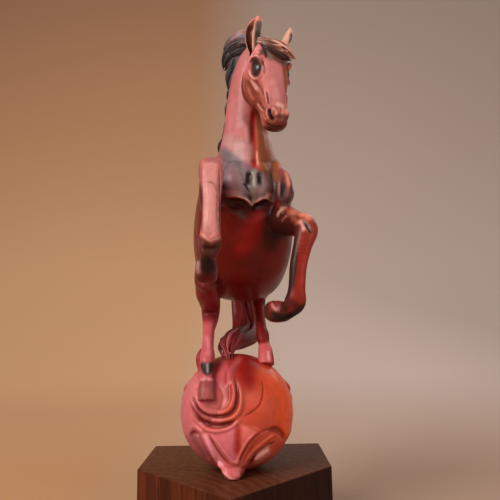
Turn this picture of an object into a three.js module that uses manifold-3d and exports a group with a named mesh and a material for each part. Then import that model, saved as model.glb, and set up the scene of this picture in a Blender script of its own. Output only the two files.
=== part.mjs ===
// A statue of a rearing horse. The figure is cast in resin in several pieces, which are fitted together on
// steel dowels. It stands with its hind hooves on a ball wrapped in waves, and the ball is bolted to a
// five-sided wooden plinth. Millimetres, +Z up, the horse faces -Y, and its left is +X. The origin is at the
// middle of the felt under the plinth.
import * as THREE from 'three';
import { mergeVertices } from 'three/addons/utils/BufferGeometryUtils.js';
import Module from 'manifold-3d';

const wasm = await Module();
wasm.setup();

// Fits
const GAP = 0.3;                    // between two pieces that are fitted together
const DOWEL_RADIUS = 2;
const HOOF_PIN_RADIUS = 1.6;
const DOWEL_CLEARANCE = 0.3;        // round a dowel, and at its ends

// Plinth
const PLINTH_WIDTH = 168;
const PLINTH_SIDE = 88;             // length of the two parallel sides, behind the point
const PLINTH_HEIGHT = 60;
const PLINTH_CORNER = 3;            // corner rounding, seen from above
const PLINTH_CHAMFER = 1.5;
const FELT_THICKNESS = 1.5;
const FELT_MARGIN = 4;              // from the plinth's edge in to the felt's
const COUNTERBORE_RADIUS = 12;
const COUNTERBORE_DEPTH = 16;

// Fixing bolt, washer and the threaded bush that is cast into the ball
const BOLT_RADIUS = 4;
const BOLT_LENGTH = 58;             // under the head
const BOLT_HEAD_RADIUS = 6.5;
const BOLT_HEAD_HEIGHT = 8;
const BOLT_SOCKET_RADIUS = 3.4;
const BOLT_SOCKET_DEPTH = 4;
const BOLT_CLEARANCE = 0.4;
const WASHER_RADIUS = 10.5;
const WASHER_THICKNESS = 1.6;
const BUSH_RADIUS = 6.5;
const BUSH_LENGTH = 20;
const LOCATING_PIN_OFFSET = 11;     // behind the bolt
const LOCATING_PIN_REACH = 9;       // into the ball, and into the plinth

// Ball
const BALL_RADIUS = 49.3;
const BALL_FLAT = 2.8;              // depth of the flat that the ball stands on
const BALL_LEFT = 2.8;              // the ball's centre, to the left of the plinth's centre
const WAVE_HEIGHT = 1.5;            // of the carved waves, above the ball
const TONGUE_REACH = 44;            // from the ball's centre to the tip of the wave that laps onto the plinth
const LEDGE_RADIUS = 15;            // of the wave under the right hind hoof

// Horse
const BARREL_WIDTH = 87;
const NECK_WIDTH = 36;
const HEAD_LENGTH = 76;
const HEAD_WIDTH = 31;
const HEAD_TURN = 27;               // degrees, to the horse's left
const HEAD_TILT = 8;                // degrees, nose out
const EYE_RADIUS = 5.2;
const EYE_OUT = 11.4;               // from the head's middle
const EYE_AHEAD = 2.6;
const EYE_DOWN = 27.2;              // from the poll
const LEG_STOUTNESS = 1;            // of all four legs, as drawn at 1
const TAIL_STRANDS = 4;
const TAIL_WIDTH = 27;              // where the strands part furthest
const LOCK_COUNT = 6;               // locks of the mane on each side of the crest
const STANDING_HEIGHT = 96;         // from where the figure's heights count up to the ball's top

const COLOURS = {
  pink: 0xc9706c, rose: 0xb9605f, red: 0xa33a2c, deepRed: 0x6e1d18, patina: 0x352a2a,
  walnut: 0x40241a, felt: 0x1d2622, steel: 0x9a9da1, brass: 0xb18f4c,
};

const PLINTH_BOTTOM = FELT_THICKNESS + GAP;
const PLINTH_TOP = PLINTH_BOTTOM + PLINTH_HEIGHT;
const BALL_BOTTOM = PLINTH_TOP + GAP;
const BALL_CENTRE = new THREE.Vector3(BALL_LEFT, 0, BALL_BOTTOM + BALL_RADIUS - BALL_FLAT);
const FIGURE_FLOOR = BALL_CENTRE.z + BALL_RADIUS - STANDING_HEIGHT;

const ACROSS = new THREE.Vector3(1, 0, 0);
const UP = new THREE.Vector3(0, 0, 1);

// A point of the figure: to the left of the ball's centre, ahead of it and above the figure's floor
const at = (left, ahead, up) => new THREE.Vector3(BALL_LEFT + left, -ahead, FIGURE_FLOOR + up);

// A closed solid from a geometry, and a geometry from a solid
function solidOf(geometry) {
  const bare = geometry.clone();
  bare.deleteAttribute('normal');
  bare.deleteAttribute('uv');
  const merged = mergeVertices(bare, 1e-4);
  return new wasm.Manifold(new wasm.Mesh({
    numProp: 3,
    vertProperties: merged.attributes.position.array,
    triVerts: new Uint32Array(merged.index.array),
  }));
}

function geometryOf(solid) {
  const mesh = solid.getMesh();
  const corners = new Float32Array(mesh.numVert * 3);
  for (let i = 0; i < mesh.numVert; i++) {
    corners.set(mesh.vertProperties.subarray(i * mesh.numProp, i * mesh.numProp + 3), i * 3);
  }
  const geometry = new THREE.BufferGeometry();
  geometry.setAttribute('position', new THREE.BufferAttribute(corners, 3));
  geometry.setIndex(new THREE.BufferAttribute(new Uint32Array(mesh.triVerts), 1));
  return geometry;
}

const joined = (...solids) => solids.reduce((whole, piece) => whole.add(piece));

// The sine or cosine of a section's outline: power 2 gives an ellipse, and more gives a boxier section
const outline = (value, power) => Math.sign(value) * Math.abs(value) ** (2 / power);

// A body lofted through stations [centre, half width, reach ahead, reach behind]. The half width runs along
// across, and ahead is across x the loft's direction. grow makes the body that much fatter all round.
function loft(stations, { across = ACROSS, sides = 12, steps = 2, power = 2, grow = 0 } = {}) {
  const path = new THREE.CatmullRomCurve3(stations.map(([centre]) => centre), false, 'centripetal');
  const size = new THREE.CatmullRomCurve3(stations.map(([, ...reach]) => new THREE.Vector3(...reach)));
  size.curveType = 'catmullrom';
  const rings = (stations.length - 1) * steps;
  const corners = [];
  for (let i = 0; i <= rings; i++) {
    const centre = path.getPoint(i / rings);
    const tangent = path.getTangent(i / rings);
    const reach = size.getPoint(i / rings);
    const side = across.clone().addScaledVector(tangent, -across.dot(tangent)).normalize();
    const ahead = new THREE.Vector3().crossVectors(side, tangent);
    for (let k = 0; k < sides; k++) {
      const angle = (2 * Math.PI * k) / sides;
      const depth = Math.sin(angle) > 0 ? reach.y : reach.z;
      corners.push(centre.clone()
        .addScaledVector(side, (reach.x + grow) * outline(Math.cos(angle), power))
        .addScaledVector(ahead, (depth + grow) * outline(Math.sin(angle), power)));
    }
  }
  corners.push(path.getPoint(0).addScaledVector(path.getTangent(0), -grow));
  corners.push(path.getPoint(1).addScaledVector(path.getTangent(1), grow));
  const [start, end] = [corners.length - 2, corners.length - 1];
  const faces = [];
  for (let k = 0; k < sides; k++) {
    const next = (k + 1) % sides;
    faces.push(start, k, next, end, rings * sides + next, rings * sides + k);
    for (let i = 0; i < rings; i++) {
      const [a, b] = [i * sides + k, i * sides + next];
      faces.push(a, a + sides, b, b, a + sides, b + sides);
    }
  }
  return solidOf(new THREE.BufferGeometry().setFromPoints(corners).setIndex(faces));
}

// A round bar between two points, longer at each end by extra
function bar(from, to, radius, extra = 0, sides = 8) {
  const axis = to.clone().sub(from);
  const geometry = new THREE.CylinderGeometry(radius, radius, axis.length() + 2 * extra, sides);
  const ownAxis = new THREE.Vector3(0, 1, 0);
  geometry.applyQuaternion(new THREE.Quaternion().setFromUnitVectors(ownAxis, axis.normalize()));
  const middle = from.clone().add(to).multiplyScalar(0.5);
  geometry.translate(middle.x, middle.y, middle.z);
  return solidOf(geometry);
}

// A block that fills everything on the side of a plane that its normal points to, further than offset from it
function beyond(point, normal, offset) {
  const size = 600;
  const block = new THREE.BoxGeometry(size, size, size);
  block.translate(0, 0, size / 2 + offset);
  block.applyQuaternion(new THREE.Quaternion().setFromUnitVectors(UP, normal.clone().normalize()));
  block.translate(point.x, point.y, point.z);
  return solidOf(block);
}

const dowelHole = ([from, to], radius = DOWEL_RADIUS) => (
  bar(from, to, radius + DOWEL_CLEARANCE, DOWEL_CLEARANCE)
);

// Trunk, from the buttocks up to the breast: [left, ahead, up, share of its width, to belly, to back]
const TRUNK = [
  [2, -76, 171, 0.05, 3, 3],
  [2, -68, 174, 0.42, 15, 19],
  [3, -50, 178, 0.7, 28, 33],
  [4, -32, 182, 0.86, 38, 39],
  [5, -12, 188, 0.95, 47, 43],
  [6.5, 6, 200, 1, 52, 45],
  [8.5, 23, 213, 0.99, 47, 48],
  [10, 37, 227, 0.92, 41, 49],
  [11, 48, 239, 0.83, 34, 43],
  [12, 57, 246, 0.66, 24, 30],
  [12.5, 63, 251, 0.4, 14, 15],
  [12.5, 66, 254, 0.1, 4, 4],
];
// Muscles of one side: [out from the trunk's middle, ahead, up, half width, two reaches]
const SHOULDER = [
  [9, 6, 266, 5, 8, 10],
  [16, 21, 255, 11, 16, 17],
  [21, 37, 243, 14.5, 19, 20],
  [23, 52, 230, 14, 17, 19],
  [24, 58, 218, 9.5, 12, 13],
  [24, 58, 210, 1.5, 2, 2],
];
const BREAST = [
  [5, 56, 255, 5, 5, 5],
  [9, 64, 243, 9.5, 8, 8],
  [9.5, 67, 231, 10.5, 9, 9],
  [9, 66.5, 221.5, 8, 7, 7],
  [8, 64, 217, 1.5, 2, 2],
];
const HAUNCH = [
  [9, -68, 182, 5, 6, 6],
  [16, -53, 188, 15, 20, 19],
  [20.5, -33, 188, 18.5, 27, 25],
];
const SHOULDER_MIDDLE = 10.9;
const BREAST_MIDDLE = 12;
const HAUNCH_MIDDLE = 3.4;
const STIFLES = { right: [-24.2, 33, 158], left: [28, 14, 165] };

function bodyForm(grow = 0) {
  const trunk = loft(
    TRUNK.map(([left, ahead, up, share, ...reach]) => (
      [at(left, ahead, up), share * BARREL_WIDTH / 2, ...reach]
    )),
    { sides: 16, power: 2.15, grow },
  );
  const placed = (stations, middle, side) => (
    stations.map(([out, ahead, up, ...reach]) => [at(middle + side * out, ahead, up), ...reach])
  );
  const muscles = Object.values(STIFLES).flatMap((place) => {
    const side = Math.sign(place[0]);
    const haunch = placed(HAUNCH, HAUNCH_MIDDLE, side);
    const hip = haunch.at(-1)[0];
    const stifle = at(...place);
    const toward = (share) => hip.clone().lerp(stifle, share);
    const thigh = [
      ...haunch,
      [toward(0.36), 17, 24, 22],
      [toward(0.7), 13.5, 17, 17],
      [stifle, 9.5, 11, 11],
      [toward(1.12), 4.5, 5, 5],
      [toward(1.16), 0.6, 0.6, 0.6],
    ];
    return [
      loft(placed(SHOULDER, SHOULDER_MIDDLE, side), { sides: 10, grow }),
      loft(placed(BREAST, BREAST_MIDDLE, side), { sides: 10, grow }),
      loft(thigh, { sides: 10, grow }),
    ];
  });
  return joined(trunk, ...muscles);
}

// Neck, from inside the shoulders up to the nape: [left, ahead, up, share of its width, to throat, to crest]
const NECK = [
  [11, 24, 236, 1.8, 36, 30],
  [12, 29, 248, 1.7, 40, 34],
  [12.2, 32, 262, 1.46, 36, 33],
  [12.6, 33, 285, 1.15, 28, 30],
  [13.2, 36, 308, 1.0, 25, 26],
  [16, 43, 329, 0.9, 21, 21],
  [21, 51, 345, 0.78, 16, 16],
  [25.5, 58, 354, 0.5, 8, 8],
];
const neckForm = (grow = 0) => loft(
  NECK.map(([left, ahead, up, share, ...reach]) => [at(left, ahead, up), share * NECK_WIDTH / 2, ...reach]),
  { sides: 14, grow },
);

// Head, in its own directions: to its left, out through the face and down from the poll
const POLL = at(31, 77, 345);
const TURN = THREE.MathUtils.degToRad(HEAD_TURN);
const TILT = THREE.MathUtils.degToRad(HEAD_TILT);
const HEAD_LEFT = new THREE.Vector3(Math.cos(TURN), Math.sin(TURN), 0);
const HEAD_LEVEL = new THREE.Vector3(Math.sin(TURN), -Math.cos(TURN), 0);
const HEAD_OUT = HEAD_LEVEL.clone().multiplyScalar(Math.cos(TILT)).addScaledVector(UP, Math.sin(TILT));
const HEAD_DOWN = HEAD_LEVEL.clone().multiplyScalar(Math.sin(TILT)).addScaledVector(UP, -Math.cos(TILT));
const onHead = (left, out, down) => POLL.clone()
  .addScaledVector(HEAD_LEFT, left).addScaledVector(HEAD_OUT, out).addScaledVector(HEAD_DOWN, down);

// [share of the head's length, share of its half width, to jaw, to face]
const HEAD = [
  [-0.07, 0.2, 8, 0.5],
  [-0.01, 0.58, 15, 4.5],
  [0.1, 0.86, 22, 8],
  [0.22, 0.98, 27, 10.5],
  [0.33, 1, 30, 11.5],
  [0.46, 0.91, 30, 10.7],
  [0.57, 0.78, 25, 9.7],
  [0.67, 0.67, 17.5, 9],
  [0.77, 0.62, 13.4, 8.6],
  [0.87, 0.7, 12.4, 8.8],
  [0.95, 0.65, 11.4, 7],
  [0.99, 0.42, 8, 3.2],
  [1, 0.15, 2, 1],
];
const skull = (grow = 0) => loft(
  HEAD.map(([down, share, ...reach]) => [onHead(0, 0, down * HEAD_LENGTH), share * HEAD_WIDTH / 2, ...reach]),
  { across: HEAD_LEFT, sides: 16, steps: 1, power: 2.5, grow },
);

// A tapering lobe through points, [point, half width, thickness], with its width along across
const lobe = (stations, across, sides = 6, steps = 2, grow = 0) => loft(
  stations.map(([point, width, thick]) => [point, width, thick, thick]),
  { across, sides, steps, grow },
);

// An ear: a blade from its root to its tip, hollowed in front
function ear(side, tip) {
  const root = onHead(side * 8.6, -4, 6);
  const end = onHead(...tip);
  const point = (share, bow) => root.clone().lerp(end, share).addScaledVector(HEAD_LEFT, side * bow);
  const blade = loft([
    [point(0, 0), 4.4, 3.2, 3.6],
    [point(0.2, 0.8), 5.6, 3, 4],
    [point(0.5, 1.6), 5.6, 2.4, 3.4],
    [point(0.78, 1.2), 3.6, 1.6, 2.2],
    [point(1, 0), 0.7, 0.5, 0.5],
  ], { across: HEAD_LEFT, sides: 8 });
  const hollow = (share, bow) => point(share, bow).addScaledVector(HEAD_OUT, 3.4);
  return blade.subtract(loft([
    [hollow(0.22, 0.8), 2, 2, 2],
    [hollow(0.48, 1.6), 3.8, 2, 3.4],
    [hollow(0.76, 1.2), 2.4, 2, 3],
    [hollow(0.94, 0), 0.6, 1.4, 2],
  ], { across: HEAD_LEFT, sides: 6 }));
}

// A rounded pebble, with half sizes along the head's left, out and down
function pebble(left, out, down, ...halves) {
  const geometry = new THREE.SphereGeometry(1, 8, 6);
  geometry.applyMatrix4(new THREE.Matrix4().makeBasis(
    HEAD_LEFT.clone().multiplyScalar(halves[0]),
    HEAD_OUT.clone().multiplyScalar(-halves[1]),
    HEAD_DOWN.clone().multiplyScalar(-halves[2]),
  ));
  const centre = onHead(left, out, down);
  geometry.translate(centre.x, centre.y, centre.z);
  return solidOf(geometry);
}

function headForm() {
  const features = [ear(-1, [-2, -5, -32]), ear(1, [25, -6, -28])];
  for (const side of [-1, 1]) {
    const eye = [side * EYE_OUT, EYE_AHEAD, EYE_DOWN];
    features.push(pebble(...eye, EYE_RADIUS, EYE_RADIUS, EYE_RADIUS));
    features.push(pebble(side * 10.8, 3.4, EYE_DOWN - 6.6, 4.6, 5.4, 7));
    features.push(pebble(side * 6, 3, 0.85 * HEAD_LENGTH, 4.8, 5.8, 8));
    features.push(lobe([
      [onHead(side * 8, -6, 6), 3, 2],
      [onHead(side * 10.5, -11, 18), 12, 5],
      [onHead(side * 10.5, -13, 30), 14.5, 5.5],
      [onHead(side * 9, -10, 41), 10, 4.5],
      [onHead(side * 6.5, -4, 50), 3, 2],
    ], HEAD_OUT, 10, 1));
    features.push(lobe([
      [onHead(side * 10.6, 7.4, EYE_DOWN - 4), 0.8, 1.2],
      [onHead(side * 13.4, 6, EYE_DOWN - 6), 1.4, 1.8],
      [onHead(side * 15.4, 2, EYE_DOWN - 4.4), 0.8, 1.2],
    ], HEAD_DOWN, 6, 1));
    features.push(lobe([
      [onHead(side * 14, 1, EYE_DOWN + 8), 1, 1.2],
      [onHead(side * 11.6, 1.4, EYE_DOWN + 16), 1.8, 1.6],
      [onHead(side * 8.8, 2.4, EYE_DOWN + 26), 0.8, 0.8],
    ], HEAD_OUT, 6, 1));
    features.push(lobe([
      [onHead(side * 3.6, 7, 58), 1.2, 1.4],
      [onHead(side * 6, 7, 62), 2.2, 2],
      [onHead(side * 7.4, 4.6, 67.5), 1.6, 1.4],
    ], HEAD_LEFT, 6, 1));
  }
  for (const shift of [0, 2.6, 5.2]) {
    features.push(lobe([
      [onHead(1 + 0.5 * shift, -7, -4), 3, 3],
      [onHead(5 + 0.8 * shift, 1, -9 + 0.6 * shift), 3.8, 3.4],
      [onHead(9.5 + 0.6 * shift, 7.5, -4.5 + shift), 3.6, 3],
      [onHead(12.5 + 0.3 * shift, 11.5, 3 + 0.8 * shift), 2.6, 2.4],
      [onHead(15.5, 12.5, 14 - 0.5 * shift), 0.6, 0.6],
    ], HEAD_LEFT, 6, 1));
  }
  let form = joined(skull(), ...features);
  for (const side of [-1, 1]) {
    form = form.subtract(pebble(side * 7.4, 7.2, 63.5, 1.4, 2.4, 3.4));
  }
  const mouth = [[-9.5, -4.5, 66], [-8.6, 0.5, 73.5], [0, 5, 76.5], [8.6, 0.5, 73.5], [9.5, -4.5, 66]];
  return form.subtract(lobe(mouth.map((point) => [onHead(...point), 0.9, 0.7]), HEAD_DOWN, 4));
}

// Legs, from the toe up: [left, ahead, up, half width, ahead, behind]
const RIGHT_FORE = [
  [-18.4, 101, 152, 7.6, 5.6, 7],
  [-17.8, 106, 156, 8, 7, 8],
  [-16.8, 114, 162.5, 7, 6.8, 7],
  [-15.6, 120.5, 168, 5.6, 5.4, 5.6],
  [-14.4, 126.5, 176, 6.9, 6.8, 7.2],
  [-13.8, 128.5, 184, 5.4, 5, 6.6],
  [-13, 127, 200, 5.2, 5, 6.4],
  [-13, 124.5, 214, 6, 5.6, 6.8],
  [-13.2, 121, 223, 7.8, 7, 7.6],
  [-13.4, 115, 231.5, 8, 8, 8],
  [-14.6, 105, 234, 7.8, 8, 8.4],
  [-15.4, 90, 231, 8.4, 9.2, 10.2],
  [-16.2, 72, 225, 9.6, 11.5, 12],
  [-16, 54, 219, 9.6, 11, 12],
];
const LEFT_FORE = [
  [29, 101, 131, 6.6, 5.8, 6.6],
  [32, 105.5, 130, 7.8, 7.2, 7.8],
  [36.5, 112, 130, 7.4, 6.8, 7.2],
  [40.5, 117, 131.5, 6.2, 6, 6.2],
  [43.8, 122, 136.5, 7.1, 7, 7.2],
  [45.6, 123.5, 145, 5.8, 5.4, 6.8],
  [48.4, 123, 161, 5.6, 5.2, 6.6],
  [51.4, 121.5, 175, 6.4, 6.2, 7.2],
  [53.4, 117.5, 185, 8, 7.6, 8],
  [52.8, 110, 191, 8.2, 8, 8.4],
  [50, 98, 194, 8.4, 8.6, 9],
  [45, 80, 199, 9.8, 10.6, 11],
  [40, 62, 206, 10.8, 12, 12.5],
  [37, 50, 211, 10, 10, 11],
];
const RIGHT_HIND = [
  [-22.6, 46.5, 61.8, 9.4, 7.4, 8],
  [-22.8, 44, 69, 8.8, 6.8, 7.6],
  [-23.2, 39.5, 78, 7.2, 6.2, 6.8],
  [-23.5, 34.5, 85, 5.3, 5.2, 5.6],
  [-23.6, 27, 95, 6.4, 6.4, 6.8],
  [-23.7, 19.5, 103, 5, 4.8, 5.8],
  [-24, 4, 118, 5, 4.8, 6],
  [-24.2, -9, 130, 6.6, 6.4, 8.6],
  [-24.2, -8, 138, 7.4, 7, 9.4],
  [-24.2, 2, 144, 8.8, 8.6, 9],
  [-24.2, 17, 150.5, 10, 10, 10],
  [-24.2, 33, 158, 8.6, 8.6, 8.6],
];
const LEFT_HIND = [
  [26.2, 8.5, 86.5, 7.2, 7.2, 7.8],
  [26.2, 6.5, 91.5, 7, 6.8, 7.4],
  [25.8, 1, 99, 6.2, 6, 6.6],
  [25.2, -3.5, 104, 5.1, 5.2, 5.6],
  [24, -9.5, 111.5, 6, 6.4, 6.8],
  [23.1, -16, 118.5, 4.9, 4.8, 5.8],
  [22, -27.5, 131, 5, 5, 6.2],
  [21.4, -38, 142, 6.5, 6.4, 8.6],
  [21.6, -37, 149.5, 7.4, 7.2, 9.4],
  [23, -25, 154, 9, 8.8, 9],
  [25.6, -8, 158.5, 10.2, 10, 10],
  [28, 10, 164, 9, 9, 9],
];
const leg = (stations, grow = 0) => loft(
  stations.map(([left, ahead, up, ...reach]) => (
    [at(left, ahead, up), ...reach.map((size) => size * LEG_STOUTNESS)]
  )),
  { sides: 8, steps: 1, power: 2.2, grow },
);

// Mane: a root along the crest of the neck, and locks that leave it and blow back and down on both sides
function maneForm() {
  const crestShare = 0.86;          // how far out of the neck the crest lies, as a share of the neck's reach
  const crestPoint = ([left, ahead, up, , , back]) => at(left, ahead - crestShare * back, up);
  const crest = new THREE.CatmullRomCurve3(NECK.slice(2, -1).map(crestPoint));
  const rootStations = [0, 0.25, 0.5, 0.75, 1].map((share) => [crest.getPoint(share), 7, 7.5, 8]);
  const nape = at(24, 48, 366);
  const locks = [loft([...rootStations, [nape, 6, 7, 8]], { sides: 8 })];
  for (let i = 0; i < LOCK_COUNT; i++) {
    const root = crest.getPoint(i / (LOCK_COUNT - 1));
    for (const side of [-1, 1]) {
      const length = 43 + 8 * Math.sin(2.4 * i + side);
      const wave = 2 * Math.sin(1.7 * i + side);
      const flow = (out, back, fall) => root.clone().add(new THREE.Vector3(side * out, back, -fall * length));
      locks.push(lobe([
        [flow(2, -3, -0.04), 5, 6],
        [flow(7.5, 0.5, 0.06), 5.6, 6.6],
        [flow(11 + wave, 2.5, 0.3), 5.4, 6.4],
        [flow(11.5, 5 + wave, 0.56), 4.6, 5.4],
        [flow(12.5 + 0.5 * wave, 9, 0.8), 3, 3.6],
        [flow(10, 13, 1), 0.7, 0.9],
      ], ACROSS, 6, 1));
    }
  }
  const tufts = [
    [[26, 50, 362, 6, 7], [18, 42, 372, 7, 9], [8, 36, 374, 7, 9], [-2, 33, 371, 5, 7], [-9, 32, 365, 1, 1]],
    [[25, 48, 357, 7, 7], [14, 39, 363, 8, 9], [3, 33, 361, 7, 9], [-4, 31, 355, 5, 6], [-7, 30, 348, 1, 1]],
    [[24, 46, 350, 7, 7], [14, 37, 353, 8, 9], [5, 31, 347, 7, 8], [0, 28, 337, 5, 6], [-2, 27, 326, 1, 1]],
  ];
  for (const tuft of tufts) {
    locks.push(lobe(tuft.map(([left, ahead, up, ...size]) => [at(left, ahead, up), ...size]), UP));
  }
  return joined(...locks);
}

// Tail: strands that part below the dock, sweep down behind and curl round on top of the ball
function tailForm(grow = 0) {
  const spine = [
    [2.5, -60, 186, 0, 5], [3, -78, 184, 0.3, 6.4], [5, -92, 168, 0.8, 8.4], [8, -93, 144, 1, 9.2],
    [8, -79, 122, 1, 9], [4, -54, 110, 0.9, 8.4], [-3, -28, 106, 0.75, 7.4], [-8, -8, 102, 0.55, 6],
  ];
  const strandShare = 0.6;          // a strand's radius, as a share of the tail's thickness
  const reach = TAIL_WIDTH / 2 - strandShare * Math.max(...spine.map(([, , , , thick]) => thick));
  const strands = [];
  for (let i = 0; i < TAIL_STRANDS; i++) {
    const turn = (Math.PI * 2 * i) / TAIL_STRANDS;
    const stations = spine.map(([left, ahead, up, spread, thick], k) => {
      const swirl = turn + 0.28 * k;
      const centre = at(left + reach * spread * Math.cos(swirl), ahead, up + 4.4 * spread * Math.sin(swirl));
      return [centre, strandShare * thick, strandShare * thick];
    });
    const tip = at(-11 - 3 * Math.cos(turn), 6 + 4 * Math.sin(turn), 92.5);
    strands.push(lobe([...stations, [tip, 0.8, 0.8]], ACROSS, 6, 2, grow));
  }
  return joined(...strands);
}

// A point on the ball, by degrees round it from the front to the left and degrees above its middle, and how
// high it lies over the ball
function onBall(round, above, height = 0) {
  const [a, b] = [THREE.MathUtils.degToRad(round), THREE.MathUtils.degToRad(above)];
  const direction = new THREE.Vector3(Math.sin(a) * Math.cos(b), -Math.cos(a) * Math.cos(b), Math.sin(b));
  return BALL_CENTRE.clone().addScaledVector(direction, BALL_RADIUS + height);
}

// A carved wave line: a sharp ridge that follows points [round, above] and fades at both ends
function ridge(width, points) {
  const count = points.length - 1;
  const across = onBall(...points[Math.round(count / 2)]).sub(BALL_CENTRE).normalize();
  const stations = points.map(([round, above], i) => {
    const fade = Math.sin(Math.PI * (0.12 + 0.76 * (i / count)));
    const sunk = 0.45 * width;
    return [onBall(round, above, -sunk), sunk + WAVE_HEIGHT * fade, width * (0.4 + 0.6 * fade)];
  });
  return lobe(stations, across, 4);
}

// The lines of the waves, [width, points]: on the front they lie round the hoof and along the tongue, and the
// ball's sides and back have like sweeps
const WAVES = [
  [3, [[-52, 33], [-43, 20], [-28, 9], [-12, 7], [-1, 18], [-3, 38]]],
  [3, [[-60, 24], [-45, 12], [-24, 2], [-6, 1], [5, 15], [4, 34]]],
  [3, [[-50, 8], [-36, -2], [-19, -9], [-5, -6], [5, 3]]],
  [2.2, [[34, 40], [31, 24], [22, 12], [8, 4]]],
  [3, [[-28, -9], [-19, -23], [-6, -45]]],
  [3, [[1, -45], [10, -26], [22, -13], [38, -9]]],
  [4, [[-72, -24], [-54, -11], [-36, -8], [-26, -24], [-24, -40]]],
  [4, [[11, -49], [19, -31], [33, -18], [50, -13]]],
  [4, [[62, 36], [84, 20], [110, 18], [134, 38]]],
  [4, [[78, -34], [98, -17], [122, -16], [142, -38]]],
  [4, [[148, 34], [168, 10], [194, 4], [220, 24]]],
  [4, [[156, -40], [174, -20], [198, -20], [216, -40]]],
  [4, [[228, 42], [246, 24], [268, 20], [290, 36]]],
  [4, [[226, -38], [246, -14], [266, -12], [286, -34]]],
];
const BOSSES = [[-39, -24, 7], [28, -35, 7.5], [110, -33, 7], [186, -36, 7], [256, -31, 7]];

// The lick of a wave beside the right hind hoof: [left, ahead, up, half width, thickness]
const LICK = [[-27, 9, 80, 5, 4], [-31, 8, 88, 3.8, 3], [-32.4, 7, 95, 2.6, 2.4], [-30.4, 6, 101.5, 0.7, 0.8]];

function ballForm() {
  const ball = new THREE.SphereGeometry(BALL_RADIUS, 26, 16);
  ball.rotateX(Math.PI / 2);
  ball.translate(BALL_CENTRE.x, BALL_CENTRE.y, BALL_CENTRE.z);
  const tongue = loft([
    [onBall(-1, 2, -9), 13, 7, 7],
    [onBall(-2, -10, -6), 23, 8, 7],
    [onBall(-3, -26, -5), 17, 8.6, 7],
    [onBall(-3, -44, -2), 11, 8, 7],
    [new THREE.Vector3(BALL_LEFT - 1.5, -TONGUE_REACH + 9, BALL_BOTTOM + 6), 11, 6, 7],
    [new THREE.Vector3(BALL_LEFT - 1.5, -TONGUE_REACH + 2, BALL_BOTTOM + 0.6), 7, 3, 3],
  ], { sides: 10 });
  const ledge = loft([
    [onBall(-29, 32, -10), 9, 9, 9],
    [onBall(-29, 20, -3), LEDGE_RADIUS, 10, 10],
    [onBall(-28, 8, -3), LEDGE_RADIUS - 1.5, 7, 8],
    [onBall(-27, -1, -5), 7, 4, 4],
  ], { sides: 12 });
  const bosses = BOSSES.map(([round, above, radius]) => {
    const boss = new THREE.SphereGeometry(radius, 8, 5);
    const centre = onBall(round, above, WAVE_HEIGHT - 0.85 * radius);
    boss.translate(centre.x, centre.y, centre.z);
    return solidOf(boss);
  });
  const lick = lobe(LICK.map(([left, ahead, up, ...size]) => [at(left, ahead, up), ...size]), ACROSS);
  const waves = WAVES.map((wave) => ridge(...wave));
  const whole = joined(solidOf(ball), tongue, ledge, lick, ...waves, ...bosses);
  return whole.intersect(beyond(new THREE.Vector3(0, 0, BALL_BOTTOM), UP, 0));
}

// The plinth's outline: straight back and sides, and a square point at the front
function pentagon(margin = 0, corner = PLINTH_CORNER) {
  const half = PLINTH_WIDTH / 2;
  const depth = PLINTH_SIDE + half;
  const back = depth / 2 - margin;
  const front = -depth / 2 + margin * Math.SQRT2;
  const side = half - margin;
  const shoulder = front + side;
  const corners = [[side, back], [-side, back], [-side, shoulder], [0, front], [side, shoulder]]
    .map(([x, y]) => new THREE.Vector2(x, y));
  const shape = new THREE.Shape();
  corners.forEach((point, i) => {
    const before = corners[(i + 4) % 5];
    const after = corners[(i + 1) % 5];
    const enter = point.clone().add(before.clone().sub(point).setLength(corner));
    const leave = point.clone().add(after.clone().sub(point).setLength(corner));
    if (i === 0) shape.moveTo(enter.x, enter.y);
    else shape.lineTo(enter.x, enter.y);
    shape.quadraticCurveTo(point.x, point.y, leave.x, leave.y);
  });
  shape.closePath();
  return shape;
}

function slab(margin, bottom, height, chamfer) {
  const geometry = new THREE.ExtrudeGeometry(pentagon(margin + chamfer), {
    depth: height - 2 * chamfer,
    bevelEnabled: chamfer > 0,
    bevelThickness: chamfer,
    bevelSize: chamfer,
    bevelSegments: 1,
    curveSegments: 3,
  });
  geometry.translate(0, 0, bottom + chamfer);
  return solidOf(geometry);
}

// Fixing: the bolt stands in the ball's axis
const BOLT_SEAT = PLINTH_BOTTOM + COUNTERBORE_DEPTH;
const boltPoint = (height) => new THREE.Vector3(BALL_LEFT, 0, height);
const BOLT_HEAD_TOP = BOLT_SEAT - WASHER_THICKNESS - 2 * GAP;
const BOLT_TIP = BOLT_HEAD_TOP + BOLT_LENGTH;
const BUSH_BOTTOM = BALL_BOTTOM + GAP;
const BUSH_BORE_TOP = BOLT_TIP + 1;

function fixingBolt() {
  const head = boltPoint(BOLT_HEAD_TOP - BOLT_HEAD_HEIGHT);
  const whole = joined(
    bar(head, boltPoint(BOLT_HEAD_TOP), BOLT_HEAD_RADIUS, 0, 16),
    bar(boltPoint(BOLT_HEAD_TOP - 1), boltPoint(BOLT_TIP), BOLT_RADIUS, 0, 12),
  );
  const socketTop = boltPoint(head.z + BOLT_SOCKET_DEPTH);
  return whole.subtract(bar(boltPoint(head.z - 1), socketTop, BOLT_SOCKET_RADIUS, 0, 6));
}

const ring = (bottom, top, outer, inner) => bar(boltPoint(bottom), boltPoint(top), outer, 0, 16)
  .subtract(bar(boltPoint(bottom), boltPoint(top), inner, 1, 12));

function threadedBush() {
  const whole = bar(boltPoint(BUSH_BOTTOM), boltPoint(BUSH_BOTTOM + BUSH_LENGTH), BUSH_RADIUS, 0, 16);
  return whole.subtract(bar(boltPoint(BUSH_BOTTOM - 1), boltPoint(BUSH_BORE_TOP), BOLT_RADIUS + GAP, 0, 12));
}

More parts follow.
